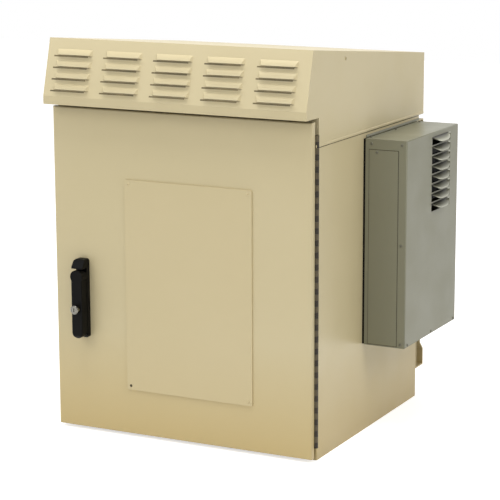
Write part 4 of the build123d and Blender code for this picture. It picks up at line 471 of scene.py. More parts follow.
EVEN = (1, 1, 1)
UPRIGHT = (12, 12, 1)
ALONG_Y = (6, 1, 6)
ZINC = brushed_metal("zinc_plate", tone(190, 190, 184), tone(160, 159, 150), 0.36, EVEN, 45)
# Both hinge metals are the stainless darkened as painted shade in the hinge's gap; the door
# leaf's copy is less dark, so the knuckles alternate.
HINGE_DEEP_SHADE = brushed_metal(
    "hinge_deep_shade", tone(50, 42, 30), tone(28, 24, 17), 0.55, UPRIGHT, 30, 0.3)
HINGE_SOFT_SHADE = brushed_metal(
    "hinge_soft_shade", tone(96, 86, 64), tone(62, 54, 40), 0.5, UPRIGHT, 30, 0.4)
COPPER = brushed_metal(
    "copper_bar", tone(205, 128, 98), tone(172, 92, 66), 0.40, ALONG_Y, 24, 0.85)
BRASS = brushed_metal("brass_screws", tone(176, 138, 92), tone(120, 86, 54), 0.42, EVEN, 160)
CHROME = brushed_metal("lock_chrome", tone(138, 136, 128), tone(98, 96, 88), 0.2, EVEN, 300)
print("plated metals ready")

# %% [markdown]
# ## Foil, foam, plastic and rubber
#
# The foil face of the blankets is thin and crumpled: part metal, part paper, with a net
# of reinforcing threads that shows as small cells, and a herringbone pressed into it.
# Foam is matt and full of pores. Moulded plastic has a fine eroded texture, and rubber a
# duller one.

# %% Herringbone
HERRING_WIDTH = 0.0100
HERRING_RUN = 0.0095
HERRING_SLOPE = 1.0


def herringbone(tree):
    """Ridges that slant up and down in turn across narrow upright bands."""
    place = parts_of(tree, place_of(tree))
    across = maths(tree, "ADD", place["X"], place["Y"])
    zigzag = maths(tree, "PINGPONG", across, HERRING_WIDTH)
    climb = maths(tree, "ADD", place["Z"], maths(tree, "MULTIPLY", zigzag, HERRING_SLOPE))
    wave = maths(tree, "SINE", maths(tree, "MULTIPLY", climb, 2 * math.pi / HERRING_RUN))
    return maths(tree, "MULTIPLY", wave, 0.5)


print("herringbone bands are", HERRING_WIDTH, "wide")

# %% Foil facing
CRUMPLE_DEPTH = 0.0010
THREAD_CELLS = 210
THREAD_DEPTH = 0.0003
HERRING_DEPTH = 0.0013


def foil_facing(name):
    """Crumpled foil over threads, with a pressed herringbone."""
    material, tree, shader = new_finish(name, tone(214, 206, 192), 0.3, 0.45)
    crumple = cloud(tree, 38, detail=5.0, roughness=0.62)
    warm = spread(tree, cloud(tree, 3.0), 0.4, 0.65)
    colour = between(tree, warm, tone(208, 205, 195), tone(213, 202, 180))
    colour_in(tree, shader, colour, spread(tree, crumple, 0.3, 0.7, 0.24, 0.46))
    bumps = relief(tree, shader, crumple, CRUMPLE_DEPTH)
    threads = cells(tree, THREAD_CELLS, feature="SMOOTH_F1")
    bumps = relief(tree, shader, threads, THREAD_DEPTH, bumps)
    relief(tree, shader, herringbone(tree), HERRING_DEPTH, bumps)
    return material


FOIL = foil_facing("quilted_foil")
print("foil ready")

# %% Foam, plastic, rubber and cast paint
FOAM_PORES = 1100
PORE_DEPTH = 0.0004


def foam(name, light, dark):
    """Matt foam with open pores."""
    material, tree, shader = new_finish(name, light, 0.92, shine=0.1)
    pore = cells(tree, FOAM_PORES)
    colour_in(tree, shader, between(tree, spread(tree, pore, 0.2, 0.7), dark, light))
    relief(tree, shader, pore, PORE_DEPTH)
    return material


def moulded(name, light, dark, roughness, grain=900, depth=0.00006, shine=0.3):
    """Moulded plastic, rubber or cast paint: a fine even grain and a little change of gloss."""
    material, tree, shader = new_finish(name, light, roughness, shine=shine)
    drift = spread(tree, cloud(tree, 20, detail=3.0), 0.35, 0.65)
    patches = cloud(tree, 45, detail=4.0)
    worn = spread(tree, patches, 0.3, 0.7, roughness - 0.06, roughness + 0.08)
    colour_in(tree, shader, between(tree, drift, dark, light), worn)
    relief(tree, shader, cloud(tree, grain, detail=3.0), depth)
    return material


BLACK_FOAM = foam("black_foam", tone(26, 25, 23), tone(14, 13, 12))
BLACK_PLASTIC = moulded("black_plastic", tone(38, 38, 37), tone(28, 28, 27), 0.5)
BLACK_PAINT = moulded(
    "black_cast_paint", tone(13, 13, 12), tone(8, 8, 8), 0.4, 500, 0.00008, 0.08)
BLACK_RUBBER = moulded("cord_rubber", tone(30, 30, 30), tone(22, 22, 22), 0.55, 700, 0.00005)
RED_PLASTIC = moulded("red_plastic", tone(206, 40, 56), tone(188, 30, 44), 0.32)
# Bare rivet metal, and the painted shade under the hood's skirt.
BARE_METAL_AND_SHADE = moulded("bare_metal_and_painted_shade", tone(84, 74, 52), tone(60, 52, 36), 0.5)
SEAM_SHADOW = moulded("seam_shadow", tone(76, 74, 60), tone(58, 56, 44), 0.6)
# Painted shade in the mouths of the hood's louvres.
MOUTH_SHADE = moulded("mouth_painted_shade", tone(112, 100, 70), tone(84, 75, 52), 0.5)
print("soft and moulded finishes ready")

# %% Coil fins in painted shade
FIN_PITCH = 0.0019
WAVES_TO_FINS = 2 / 6.283


def fins_in_painted_shade(name):
    """A coil's face: thin upright aluminium fins that stand close together, near black as
    painted shade inside the vents.
    """
    material, tree, shader = new_finish(name, tone(34, 34, 33), 0.6, shine=0.1)
    scale = WAVES_TO_FINS / FIN_PITCH
    fins = add_node(tree, "TexWave", {"Vector": place_of(tree), "Scale": scale})
    fins.bands_direction = "Y"
    wave = fins.outputs["Fac"]
    colour_in(tree, shader, between(tree, wave, tone(8, 8, 8), tone(34, 34, 32)))
    relief(tree, shader, wave, 0.0008)
    return material


# The fins' near-black tones are painted shade, not the aluminium's own colour.
SHADED_COIL_FINS = fins_in_painted_shade("coil_fins")
print("coil fins ready")

# %% [markdown]
# ## Giving the CAD parts their finishes
#
# Every CAD part has a material slot in its record, so one table from slot to finish
# dresses them all. The shapes stay untouched: only the material in the slot changes.

# %% Finishes by slot
FINISH_OF_SLOT = {
    "cream_paint": CREAM,
    "plate_paint": PLATE_CREAM,
    "foil": FOIL,
    "galvanised": GALVANISED,
    "zinc_steel": ZINC,
    "cream_fastener": FASTENER_CREAM,
    "stainless": HINGE_DEEP_SHADE,
    "copper": COPPER,
    "brass": BRASS,
    "red_plastic": RED_PLASTIC,
    "black_foam": BLACK_FOAM,
    "grey_paint": GREY_GREEN,
    "black_plastic": BLACK_PLASTIC,
    "black_paint": BLACK_PAINT,
    "chrome_lock": CHROME,
    "coil_fins": SHADED_COIL_FINS,
    "black_cord": BLACK_RUBBER,
}
slot_of_node = {row["node"]: row["material_slot"] for row in frame["record"]["subparts"]}
for name, part in nodes.items():
    part.data.materials.clear()
    part.data.materials.append(FINISH_OF_SLOT[slot_of_node[name]])
# The door leaf takes the less dark copy of the hinge's painted shade.
nodes["hinge_leaf_door"].data.materials[0] = HINGE_SOFT_SHADE
print(len(nodes), "CAD parts dressed")

# %% [markdown]
# ## From a bmesh to a finished piece
#
# A bmesh becomes an object the same way each time: its normals are made to point
# outwards, it is shaded smooth up to a crease angle, and it gets its finish. Strips,
# turned parts and runs are rings of points that follow one another, so one helper joins
# such rings with faces and another one closes the ends.

# %% Pieces
SAME_PLACE = 1e-6


def mesh_data(name, mesh):
    """Mesh data from a bmesh, with its faces turned outwards."""
    bmesh.ops.recalc_face_normals(mesh, faces=mesh.faces)
    data = bpy.data.meshes.new(name)
    mesh.to_mesh(data)
    mesh.free()
    return data


def add_piece(name, data, body, smooth_angle):
    """A piece that rides on one CAD body, shaded smooth up to an angle."""
    data.polygons.foreach_set("use_smooth", [True] * len(data.polygons))
    data.set_sharp_from_angle(angle=math.radians(smooth_angle))
    piece = add_object(name, data)
    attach(piece, body)
    print(name, len(data.polygons), "faces")
    return piece


def to_piece(name, mesh, finish, body, smooth_angle=50):
    """A finished piece from a bmesh."""
    data = mesh_data(name, mesh)
    data.materials.append(finish)
    return add_piece(name, data, body, smooth_angle)


# %% Rings of points


def join_rings(into, rings):
    """Faces between rings that follow one another and have equally many points."""
    for ring, following in zip(rings, rings[1:]):
        for step in range(len(ring)):
            after = (step + 1) % len(ring)
            into.faces.new((ring[step], ring[after], following[after], following[step]))


def close_ends(into, rings):
    """A face on the first ring and one on the last."""
    into.faces.new(list(reversed(rings[0])))
    into.faces.new(rings[-1])


print("piece helpers ready")

# %% [markdown]
# ## Quilted foil blankets
#
# The walls and the door are lined with foil-faced blankets. Each is a thick pad sewn in
# upright ribs about 12 mm apart, so its face is a row of soft tubes, and it thins out at
# its edges and round its cut-outs. A grid follows this rule well: lines are placed at
# every cut edge, the cells inside a cut are left out, and each point is raised by the
# rib, the edge and a slow waviness. Extruding the sheet gives the pad a back and sides.

# %% How thick the blanket is at a point
RIB_PITCH = 0.0118
RIB_HEIGHT = 0.0022
RIB_SWAY = 0.0012
WAVE_HEIGHT = 0.0008
CREASE_HEIGHT = 0.0007
EDGE_ROLL = 0.008
EDGE_THIN = 0.45
PUCKER_REACH = 0.014


def distance_to_edge(u, v, size_u, size_v, cuts):
    """How far a point is from the blanket's outline or from a cut-out in it."""
    nearest = min(u - size_u[0], size_u[1] - u, v - size_v[0], size_v[1] - v)
    for (u0, u1), (v0, v1) in cuts:
        away_u = max(u0 - u, 0, u - u1)
        away_v = max(v0 - v, 0, v - v1)
        nearest = min(nearest, math.hypot(away_u, away_v))
    return max(nearest, 0.0)


def blanket_thickness(u, v, full, size_u, size_v, cuts, dimples, wander):
    """Full thickness less the rib valleys, the rolled edge, the waviness and the puckers."""
    sway = RIB_SWAY * noise.noise(Vector((u * 6, v * 5, wander)))
    across = ((u + sway) / RIB_PITCH) % 1.0
    rib = math.sqrt(max(0.0, 1 - (2 * across - 1) ** 2))
    wave = noise.noise(Vector((u * 9, v * 9, wander + 7)))
    crease = abs(noise.noise(Vector((u * 30, v * 48, wander + 19))))
    depth = full - RIB_HEIGHT * (1 - rib) - WAVE_HEIGHT * (1 + wave) - CREASE_HEIGHT * crease
    edge = min(1.0, distance_to_edge(u, v, size_u, size_v, cuts) / EDGE_ROLL)
    depth *= EDGE_THIN + (1 - EDGE_THIN) * math.sqrt(1 - (1 - edge) ** 2)
    for spot_u, spot_v, sink in dimples:
        gap = math.hypot(u - spot_u, v - spot_v)
        depth -= sink * math.exp(-((gap / PUCKER_REACH) ** 2))
    return depth


# %% Lines of the grid
RIB_STEP = RIB_PITCH / 4
LONG_STEP = 0.014
NEAR_EDGE = 0.0015
OFF_EDGE = 0.005
LEAST_GAP = 0.45


def grid_lines(low, high, step, extra):
    """Even lines from low to high, with a line exactly at each extra value."""
    count = max(1, round((high - low) / step))
    lines = [low + (high - low) * i / count for i in range(count + 1)]
    for value in extra:
        if low < value < high:
            least = step * LEAST_GAP
            lines = [line for line in lines if abs(line - value) > least or line in (low, high)]
            lines.append(value)
    return sorted(set(lines))


def blanket_lines(size_u, size_v, cuts):
    """Both sets of lines: close together across the ribs, and wider along them."""
    low, high = size_u
    extra = [u for cut in cuts for u in cut[0]] + [low + NEAR_EDGE, high - NEAR_EDGE]
    lines_u = grid_lines(low, high, RIB_STEP, extra)
    low, high = size_v
    extra = [v for cut in cuts for v in cut[1]]
    extra += [low + NEAR_EDGE, low + OFF_EDGE, high - OFF_EDGE, high - NEAR_EDGE]
    return lines_u, grid_lines(low, high, LONG_STEP, extra)


# %% One blanket from a grid with cut-outs


def blanket(into, place, full, size_u, size_v, cuts, dimples, wander):
    """Adds one quilted blanket to a mesh. place(u, v, depth) says where a point of it is."""
    lines_u, lines_v = blanket_lines(size_u, size_v, cuts)
    back = {}
    faces = []
    for i in range(len(lines_u) - 1):
        for j in range(len(lines_v) - 1):
            mid_u = (lines_u[i] + lines_u[i + 1]) / 2
            mid_v = (lines_v[j] + lines_v[j + 1]) / 2
            if any(u0 < mid_u < u1 and v0 < mid_v < v1 for (u0, u1), (v0, v1) in cuts):
                continue
            corners = []
            for a, b in ((i, j), (i + 1, j), (i + 1, j + 1), (i, j + 1)):
                if (a, b) not in back:
                    back[a, b] = into.verts.new(place(lines_u[a], lines_v[b], 0.0))
                corners.append(back[a, b])
            faces.append(into.faces.new(corners))
    by_place = {v.co.to_tuple(7): (lines_u[a], lines_v[b]) for (a, b), v in back.items()}
    grown = bmesh.ops.extrude_face_region(into, geom=faces, use_keep_orig=True)
    for vertex in grown["geom"]:
        if isinstance(vertex, bmesh.types.BMVert):
            u, v = by_place[vertex.co.to_tuple(7)]
            depth = blanket_thickness(u, v, full, size_u, size_v, cuts, dimples, wander)
            vertex.co = place(u, v, depth)


# %% Blanket of the door
door_low, door_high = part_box("door_lining")
DOOR_CUTS = {
    "latch": ((-0.300, -0.209), (0.304, 0.392)),
    "cover": ((-0.300, -0.216), (0.215, 0.284)),
    "channel": ((-0.098, 0.154), (0.000, 0.089)),
    "upper guide": ((-0.300, -0.223), (0.599, 0.617)),
    "lower guide": ((-0.300, -0.223), (0.097, 0.115)),
}
PIN_SPOTS = [(x, z) for x in (-0.102, 0.157) for z in (0.140, 0.334, 0.525)]
PIN_SINK = 0.0022
door_blanket_mesh = bmesh.new()
blanket(
    door_blanket_mesh, lambda u, v, depth: Vector((u, door_low.y + depth, v)),
    door_high.y - door_low.y, (door_low.x, door_high.x), (door_low.z, door_high.z),
    list(DOOR_CUTS.values()), [(x, z, PIN_SINK) for x, z in PIN_SPOTS], 1.0)
door_blanket = to_piece("door_blanket", door_blanket_mesh, FOIL, "door", 60)
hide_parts("door_lining")

# %% Blankets of the walls and the ceiling
wall_low, wall_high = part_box("body_lining")
LINING_T = 0.012
BLANKET_GAP = 0.001
REAR_Y = 0.268
SIDE_X = 0.303
FRONT_Y = -0.267
BOLT_SINK = 0.0015
rear_span = (-0.302, 0.302)
side_span = (FRONT_Y, 0.256 - BLANKET_GAP)
roof_span = (FRONT_Y, 0.267)
rise = (wall_low.z, wall_high.z - LINING_T - BLANKET_GAP)
BOLT_X = (-0.238, -0.072, 0.072, 0.238)
bolt_dimples = [(x, z, BOLT_SINK) for x in BOLT_X for z in (0.614, 0.127)]
ac_dimples = [(y, z, BOLT_SINK) for y in (-0.035, 0.247) for z in (0.219, 0.411, 0.606)]
vent_cuts = [((-0.023, 0.098), (0.508, 0.622)), ((-0.010, 0.122), (0.221, 0.446))]
wall_mesh = bmesh.new()
for wander, place, size_u, size_v, cuts, dimples in (
    (2.0, lambda u, v, d: Vector((u, REAR_Y - d, v)), rear_span, rise, [], bolt_dimples),
    (3.0, lambda u, v, d: Vector((d - SIDE_X, u, v)), side_span, rise, [], []),
    (4.0, lambda u, v, d: Vector((SIDE_X - d, u, v)), side_span, rise, vent_cuts, ac_dimples),
    (5.0, lambda u, v, d: Vector((u, v, wall_high.z - d)), rear_span, roof_span, [], []),
):
    blanket(wall_mesh, place, LINING_T, size_u, size_v, cuts, dimples, wander)
wall_blankets = to_piece("wall_blankets", wall_mesh, FOIL, "cabinet", 60)
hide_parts("body_lining")

# %% [markdown]
# ## The door's foam seal
#
# A flat strip of soft black foam is glued round the inside of the door, and the drip lip
# of the body presses into it. The strip has rounded shoulders and a shallow groove where
# the lip has pressed. It is drawn as one profile carried round the four corners.

# %% Door seal
SEAL_PROFILE = [
    (0.0000, 0.00), (0.0000, 0.62), (0.0010, 0.86), (0.0030, 0.97), (0.0060, 1.00),
    (0.0110, 1.00), (0.0130, 0.95), (0.0150, 0.92), (0.0190, 0.92), (0.0210, 0.95),
    (0.0230, 1.00), (0.0270, 1.00), (0.0300, 0.97), (0.0320, 0.86), (0.0330, 0.62),
    (0.0330, 0.00),
]
seal_low, seal_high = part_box("door_gasket")
seal_mesh = bmesh.new()
seal_rings = []
for inset, share in SEAL_PROFILE:
    x0, x1 = seal_low.x + inset, seal_high.x - inset
    z0, z1 = seal_low.z + inset, seal_high.z - inset
    y = seal_low.y + (seal_high.y - seal_low.y) * share
    corners = ((x0, y, z0), (x1, y, z0), (x1, y, z1), (x0, y, z1))
    seal_rings.append([seal_mesh.verts.new(corner) for corner in corners])
join_rings(seal_mesh, seal_rings + seal_rings[:1])
door_seal = to_piece("door_seal", seal_mesh, BLACK_FOAM, "door", 35)
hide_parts("door_gasket")

# %% [markdown]
# ## Strain relief, plug and tie of the lead
#
# The lead leaves its gland through a ribbed rubber sleeve that keeps it from kinking. Its
# plug is a moulded body with finger grooves and pins, and a strap holds the hank. Turned
# parts like these are revolved: a profile is spun round the axis of the lead.

# %% Turning a profile


def turned(into, profile, origin=(0, 0, 0), axis=(0, 0, 1), side=(1, 0, 0), segments=24):
    """Spins (distance along the axis, radius) pairs round an axis and closes both ends."""
    along = Vector(axis).normalized()
    first = Vector(side).normalized()
    second = along.cross(first)
    rings = []
    for distance, radius in profile:
        centre = Vector(origin) + along * distance
        ring = []
        for step in range(segments):
            angle = 2 * math.pi * step / segments
            way = first * math.cos(angle) + second * math.sin(angle)
            ring.append(into.verts.new(centre + way * radius))
        rings.append(ring)
    join_rings(into, rings)
    close_ends(into, rings)


# %% Strain relief
GLAND_X = 0.306
RELIEF_RIBS = 6
RELIEF_LENGTH = 0.026
RIB_SHAPE = ((0.10, 0.0), (0.62, -0.0002), (0.72, -0.0013), (0.98, -0.0013))
relief_low, relief_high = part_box("cord_relief")
relief_place = (GLAND_X, (relief_low.y + relief_high.y) / 2, (relief_low.z + relief_high.z) / 2)
rib_length = RELIEF_LENGTH / RELIEF_RIBS
sleeve = [(-0.0005, 0.0074)]
for rib in range(RELIEF_RIBS):
    outer = 0.0080 - 0.0030 * rib / RELIEF_RIBS
    sleeve += [(rib_length * (rib + share), outer + drop) for share, drop in RIB_SHAPE]
sleeve += [(RELIEF_LENGTH - 0.0002, 0.0042)]
nut_length = relief_high.x - GLAND_X
nut = [(0.0, 0.0096), (0.0006, 0.0106), (nut_length - 0.0003, 0.0106), (nut_length, 0.0100)]
relief_mesh = bmesh.new()
turned(relief_mesh, sleeve, relief_place, (-1, 0, 0), (0, 1, 0))
turned(relief_mesh, nut, relief_place, (1, 0, 0), (0, 1, 0), 6)
ribbed_relief = to_piece("ribbed_relief", relief_mesh, BLACK_RUBBER, "cabinet")
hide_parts("cord_relief")

# %% Plug
PLUG_PROFILE = [
    (0.0000, 0.0046), (0.0008, 0.0056), (0.0024, 0.0056), (0.0030, 0.0048), (0.0044, 0.0048),
    (0.0050, 0.0060), (0.0066, 0.0062), (0.0072, 0.0052), (0.0086, 0.0052), (0.0094, 0.0066),
    (0.0112, 0.0080), (0.0140, 0.0100), (0.0165, 0.0116), (0.0185, 0.0124), (0.0205, 0.0128),
    (0.0212, 0.0120), (0.0226, 0.0120), (0.0233, 0.0129), (0.0247, 0.0129), (0.0254, 0.0121),
    (0.0266, 0.0121), (0.0273, 0.0129), (0.0300, 0.0129), (0.0306, 0.0124), (0.0308, 0.0112),
]
PIN_START = 0.0304
PIN_SHIFT = 0.0055
plug_low, plug_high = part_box("cord_plug")
plug_x = (plug_low.x + plug_high.x) / 2
plug_y = (plug_low.y + plug_high.y) / 2
plug_length = plug_high.z - plug_low.z
plug_mesh = bmesh.new()
turned(plug_mesh, PLUG_PROFILE, (plug_x, plug_y, plug_high.z), (0, 0, -1), (0, 1, 0), 28)
lead_plug = to_piece("lead_plug", plug_mesh, BLACK_RUBBER, "cabinet")
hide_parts("cord_plug")
pin_profile = [
    (PIN_START, 0.0020), (plug_length - 0.0012, 0.0020), (plug_length - 0.0003, 0.0014),
    (plug_length, 0.0006),
]
pin_mesh = bmesh.new()
for shift in (-PIN_SHIFT, PIN_SHIFT):
    pin_place = (plug_x, plug_y + shift, plug_high.z)
    turned(pin_mesh, pin_profile, pin_place, (0, 0, -1), (0, 1, 0), 16)
plug_pins = to_piece("plug_pins", pin_mesh, ZINC, "cabinet")

# %% Tie round the hank
TIE_WIDTH = 0.008
TIE_Z = 0.2760
TIE_THICK = 0.0013
TIE_CORNERS = 0.45
TIE_POINTS = 32
TIED_FROM = 0.015
tied = []
for here, after in zip(hank_route, hank_route[1:]):
    if here[1] > HANK_Y + TIED_FROM and here[2] >= TIE_Z > after[2]:
        tied.append(here)
print("strands in the tie", len(tied))


def tie_extent(axis):
    """The middle of the tied strands along one axis, and half of what they take up."""
    low = min(place[axis] for place in tied)
    high = max(place[axis] for place in tied)
    return (low + high) / 2, high - (low + high) / 2 + CORD_R


tie_x, half_x = tie_extent(0)
tie_y, half_y = tie_extent(1)


def tie_ring(grow, z):
    """The strap's outline round the strands at one height: a rounded slot."""
    points = []
    for step in range(TIE_POINTS):
        angle = 2 * math.pi * step / TIE_POINTS
        side = math.cos(angle)
        out = math.sin(angle)
        x = tie_x + math.copysign(abs(side) ** TIE_CORNERS, side) * (half_x + grow)
        y = tie_y + math.copysign(abs(out) ** TIE_CORNERS, out) * (half_y + grow)
        points.append(Vector((x, y, z)))
    return points


tie_mesh = bmesh.new()
tie_rings = []
for grow, up in ((0.0, -0.5), (TIE_THICK, -0.5), (TIE_THICK, 0.5), (0.0, 0.5)):
    ring = tie_ring(grow, TIE_Z + TIE_WIDTH * up)
    tie_rings.append([tie_mesh.verts.new(point) for point in ring])
join_rings(tie_mesh, tie_rings + tie_rings[:1])
hank_tie = to_piece("hank_tie", tie_mesh, BLACK_RUBBER, "cabinet", 40)

# %% The lead's finish, and the body it rides on
supply_lead.data.materials.append(BLACK_RUBBER)
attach(supply_lead, "cabinet")
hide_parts("power_cord", "cord_hank")
print("lead declared, length", round(lead_length, 3))

# %% [markdown]
# ## Fasteners on points
#
# Screws, rivets and clips are the same part set down many times. Geometry Nodes does
# that: the input mesh is a point for each fastener, with a vector that says which way it
# faces. The tree sets the finished part on each point, turned to face that way and by a
# random angle about its own axis, realises the copies into one mesh and paints it.

# %% The tree that sets a part on points
FLOAT_MAX, FLOAT_RESULT = 3, 1


def placing_tree():
    """Sets one part on every point, turned to face the point's own direction."""
    tree = bpy.data.node_groups.new("set_fasteners", "GeometryNodeTree")
    for name, kind in (
        ("Points", "Geometry"), ("Part", "Object"), ("Loose turn", "Float"), ("Seed", "Int"),
        ("Finish", "Material"),
    ):
        tree.interface.new_socket(name, in_out="INPUT", socket_type="NodeSocket" + kind)
    tree.interface.new_socket("Geometry", in_out="OUTPUT", socket_type="NodeSocketGeometry")
    build = tree.nodes.new
    given = build("NodeGroupInput")
    part = build("GeometryNodeObjectInfo")
    facing = build("GeometryNodeInputNamedAttribute")
    facing.data_type = "FLOAT_VECTOR"
    facing.inputs["Name"].default_value = "facing"
    align = build("FunctionNodeAlignRotationToVector")
    align.axis = "Z"
    turn = build("FunctionNodeRandomValue")
    turn.data_type = "FLOAT"
    euler = build("ShaderNodeCombineXYZ")
    to_rotation = build("FunctionNodeEulerToRotation")
    rotate = build("FunctionNodeRotateRotation")
    rotate.rotation_space = "LOCAL"
    place = build("GeometryNodeInstanceOnPoints")
    realise = build("GeometryNodeRealizeInstances")
    paint = build("GeometryNodeSetMaterial")
    result = build("NodeGroupOutput")
    for start, output, end, socket in (
        (given, "Part", part, "Object"),
        (facing, "Attribute", align, "Vector"),
        (given, "Loose turn", turn, FLOAT_MAX),
        (given, "Seed", turn, "Seed"),
        (turn, FLOAT_RESULT, euler, "Z"),
        (euler, "Vector", to_rotation, "Euler"),
        (align, "Rotation", rotate, "Rotation"),
        (to_rotation, "Rotation", rotate, "Rotate By"),
        (given, "Points", place, "Points"),
        (part, "Geometry", place, "Instance"),
        (rotate, "Rotation", place, "Rotation"),
        (place, "Instances", realise, "Geometry"),
        (realise, "Geometry", paint, "Geometry"),
        (given, "Finish", paint, "Material"),
        (paint, "Geometry", result, "Geometry"),
    ):
        tree.links.new(start.outputs[output], end.inputs[socket])
    return tree


PLACING = placing_tree()
print("placing tree has", len(PLACING.nodes), "nodes")

# %% Running the tree
LOOSE_TURN = 3.1


def set_fasteners(name, spots, part, finish, body, seed):
    """One mesh of fasteners. A spot starts with its place and its facing direction."""
    data = bpy.data.meshes.new(name)
    data.from_pydata([tuple(spot[0]) for spot in spots], [], [])
    facing = data.attributes.new("facing", "FLOAT_VECTOR", "POINT")
    facing.data.foreach_set("vector", [v for spot in spots for v in spot[1]])
    holder = add_object(name + "_points", data)
    modifier = holder.modifiers.new("set", "NODES")
    modifier.node_group = PLACING
    values = {"Part": part, "Loose turn": LOOSE_TURN, "Seed": seed, "Finish": finish}
    for item in PLACING.interface.items_tree:
        if item.in_out == "INPUT" and item.name in values:
            modifier[item.identifier] = values[item.name]
    bpy.context.view_layer.update()
    depsgraph = bpy.context.evaluated_depsgraph_get()
    result = bpy.data.meshes.new_from_object(holder.evaluated_get(depsgraph))
    result.name = name
    holder.modifiers.remove(modifier)
    bpy.data.objects.remove(holder)
    if "facing" in result.attributes:
        result.attributes.remove(result.attributes["facing"])
    print(len(spots), "set for", name)
    return add_piece(name, result, body, 35)


# %% [markdown]
# Where each fastener goes comes from the CAD node that it replaces. That node's mesh
# holds one small solid per fastener, so the solids are told apart and the seat of each
# one is found: the wider of its two ends, or the one further back from a given direction.

# %% Seats of the CAD fasteners


def separate_solids(node):
    """The points of each separate solid in a CAD node."""
    mesh = bmesh.new()
    mesh.from_mesh(nodes[node].data)
    bmesh.ops.remove_doubles(mesh, verts=mesh.verts, dist=SAME_PLACE)
    waiting = set(mesh.verts)
    solids = []
    while waiting:
        stack = [waiting.pop()]
        found = []
        while stack:
            vertex = stack.pop()
            found.append(vertex.co.copy())
            for edge in vertex.link_edges:
                other = edge.other_vert(vertex)
                if other in waiting:
                    waiting.remove(other)
                    stack.append(other)
        solids.append(found)
    mesh.free()
    return solids


def seats(node, facing=None):
    """The seat, the facing direction and the size of each small head in a CAD node."""
    spots = []
    for points in separate_solids(node):
        low = Vector([min(p[k] for p in points) for k in range(3)])
        high = Vector([max(p[k] for p in points) for k in range(3)])
        middle = (low + high) / 2
        size = high - low
        if facing is None:
            k = min(range(3), key=lambda index: size[index])
            wide = [0.0, 0.0]
            for p in points:
                end = 0 if p[k] < middle[k] else 1
                flat = p - middle
                flat[k] = 0
                wide[end] = max(wide[end], flat.length)
            way = Vector([0, 0, 0])
            way[k] = 1 if wide[0] > wide[1] else -1
        else:
            way = Vector(facing)
            k = max(range(3), key=lambda index: abs(way[index]))
        seat = middle.copy()
        seat[k] = low[k] if way[k] > 0 else high[k]
        spots.append((seat, way, size))
    spots.sort(key=lambda spot: tuple(round(v, 5) for v in spot[0]))
    return spots


screw_seats = seats("panel_screws")
rivet_seats = seats("plate_rivets")
ground_seats = seats("ground_bar_screws", (0, 0, 1))
print(len(screw_seats), "panel screws,", len(rivet_seats), "rivets")

# %% [markdown]
# ## The parts to set down
#
# A pan-head screw has a domed head with a cross recess, so a turned dome has a cross
# cut out of it with a Boolean modifier. A blind rivet is a low dome with the hole that
# its mandrel left. The ground bar's screws have plain drum heads, and the clips on the
# blanket's pins are thin dished discs.

# %% Stamps made once and set down many times
PAN_PROFILE = ((0.0, 0.97), (0.12, 1.0), (0.45, 0.96), (0.75, 0.80), (0.92, 0.55), (1.0, 0.25))
CROSS_WIDTH, CROSS_REACH = 0.13, 0.58
CROSS_TAPER = 0.35
CROSS_FLOOR, CROSS_TOP = 0.25, 1.4


def stamp(name, profile, segments=20):
    """A turned part that is only copied from: it is removed before the end."""
    mesh = bmesh.new()
    turned(mesh, profile, segments=segments)
    return add_object(name, mesh_data(name, mesh))


def cross_cutter(radius, height):
    """Two crossed blocks that narrow towards the floor of the recess."""
    cross = bmesh.new()
    wide, reach = radius * CROSS_WIDTH, radius * CROSS_REACH
    for half_x, half_y in ((wide, reach), (reach, wide)):
        for vertex in bmesh.ops.create_cube(cross, size=1.0)["verts"]:
            deep = vertex.co.z < 0
            share = CROSS_TAPER if deep else 1.0
            x = half_x * share if half_x > half_y else half_x
            y = half_y * share if half_y > half_x else half_y
            vertex.co.x = math.copysign(x, vertex.co.x)
            vertex.co.y = math.copysign(y, vertex.co.y)
            vertex.co.z = height * (CROSS_FLOOR if deep else CROSS_TOP)
    return add_object("cross", mesh_data("cross", cross))


def pan_head(radius, height):
    """A domed head with a cross recess, cut by a Boolean and made plain again."""
    head = stamp("head", [(height * up, radius * out) for up, out in PAN_PROFILE])
    cutter = cross_cutter(radius, height)
    cut = head.modifiers.new("cut", "BOOLEAN")
    cut.operation = "DIFFERENCE"
    cut.solver = "EXACT"
    cut.use_self = True
    cut.object = cutter
    depsgraph = bpy.context.evaluated_depsgraph_get()
    data = bpy.data.meshes.new_from_object(head.evaluated_get(depsgraph))
    head.modifiers.remove(cut)
    head.data = data
    bpy.data.objects.remove(cutter)
    return head


# %% Panel screws
SMALL_HEAD = 0.0035
big_seats = [spot for spot in screw_seats if max(spot[2]) > 2 * SMALL_HEAD]
small_seats = [spot for spot in screw_seats if max(spot[2]) <= 2 * SMALL_HEAD]
big_head = pan_head(0.0040, 0.0020)
small_head = pan_head(0.0030, 0.0018)
body_screws = set_fasteners(
    "body_screws", big_seats, big_head, FASTENER_CREAM, "cabinet", 11)
set_fasteners(
    "ac_screws", small_seats, small_head, FASTENER_GREY, "cabinet", 12)
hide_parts("panel_screws")

# %% [markdown]
# Three of the plate's rivets are painted over. The lower left one is bare.

# %% Plate rivets
LOW_DOWN = 0.3
rivet_head = stamp("rivet", [
    (0.0, 0.0030), (0.0003, 0.0030), (0.0009, 0.0024), (0.0013, 0.0016),
    (0.0014, 0.0010), (0.0012, 0.0009), (0.0006, 0.0008),
])
bare_seats = [spot for spot in rivet_seats if spot[0].x < 0 and spot[0].z < LOW_DOWN]
painted_seats = [spot for spot in rivet_seats if spot not in bare_seats]
rivets = set_fasteners(
    "painted_rivets", painted_seats, rivet_head, PLATE_CREAM, "door", 13)
set_fasteners(
    "bare_rivet", bare_seats, rivet_head, BARE_METAL_AND_SHADE, "door", 16)
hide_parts("plate_rivets")

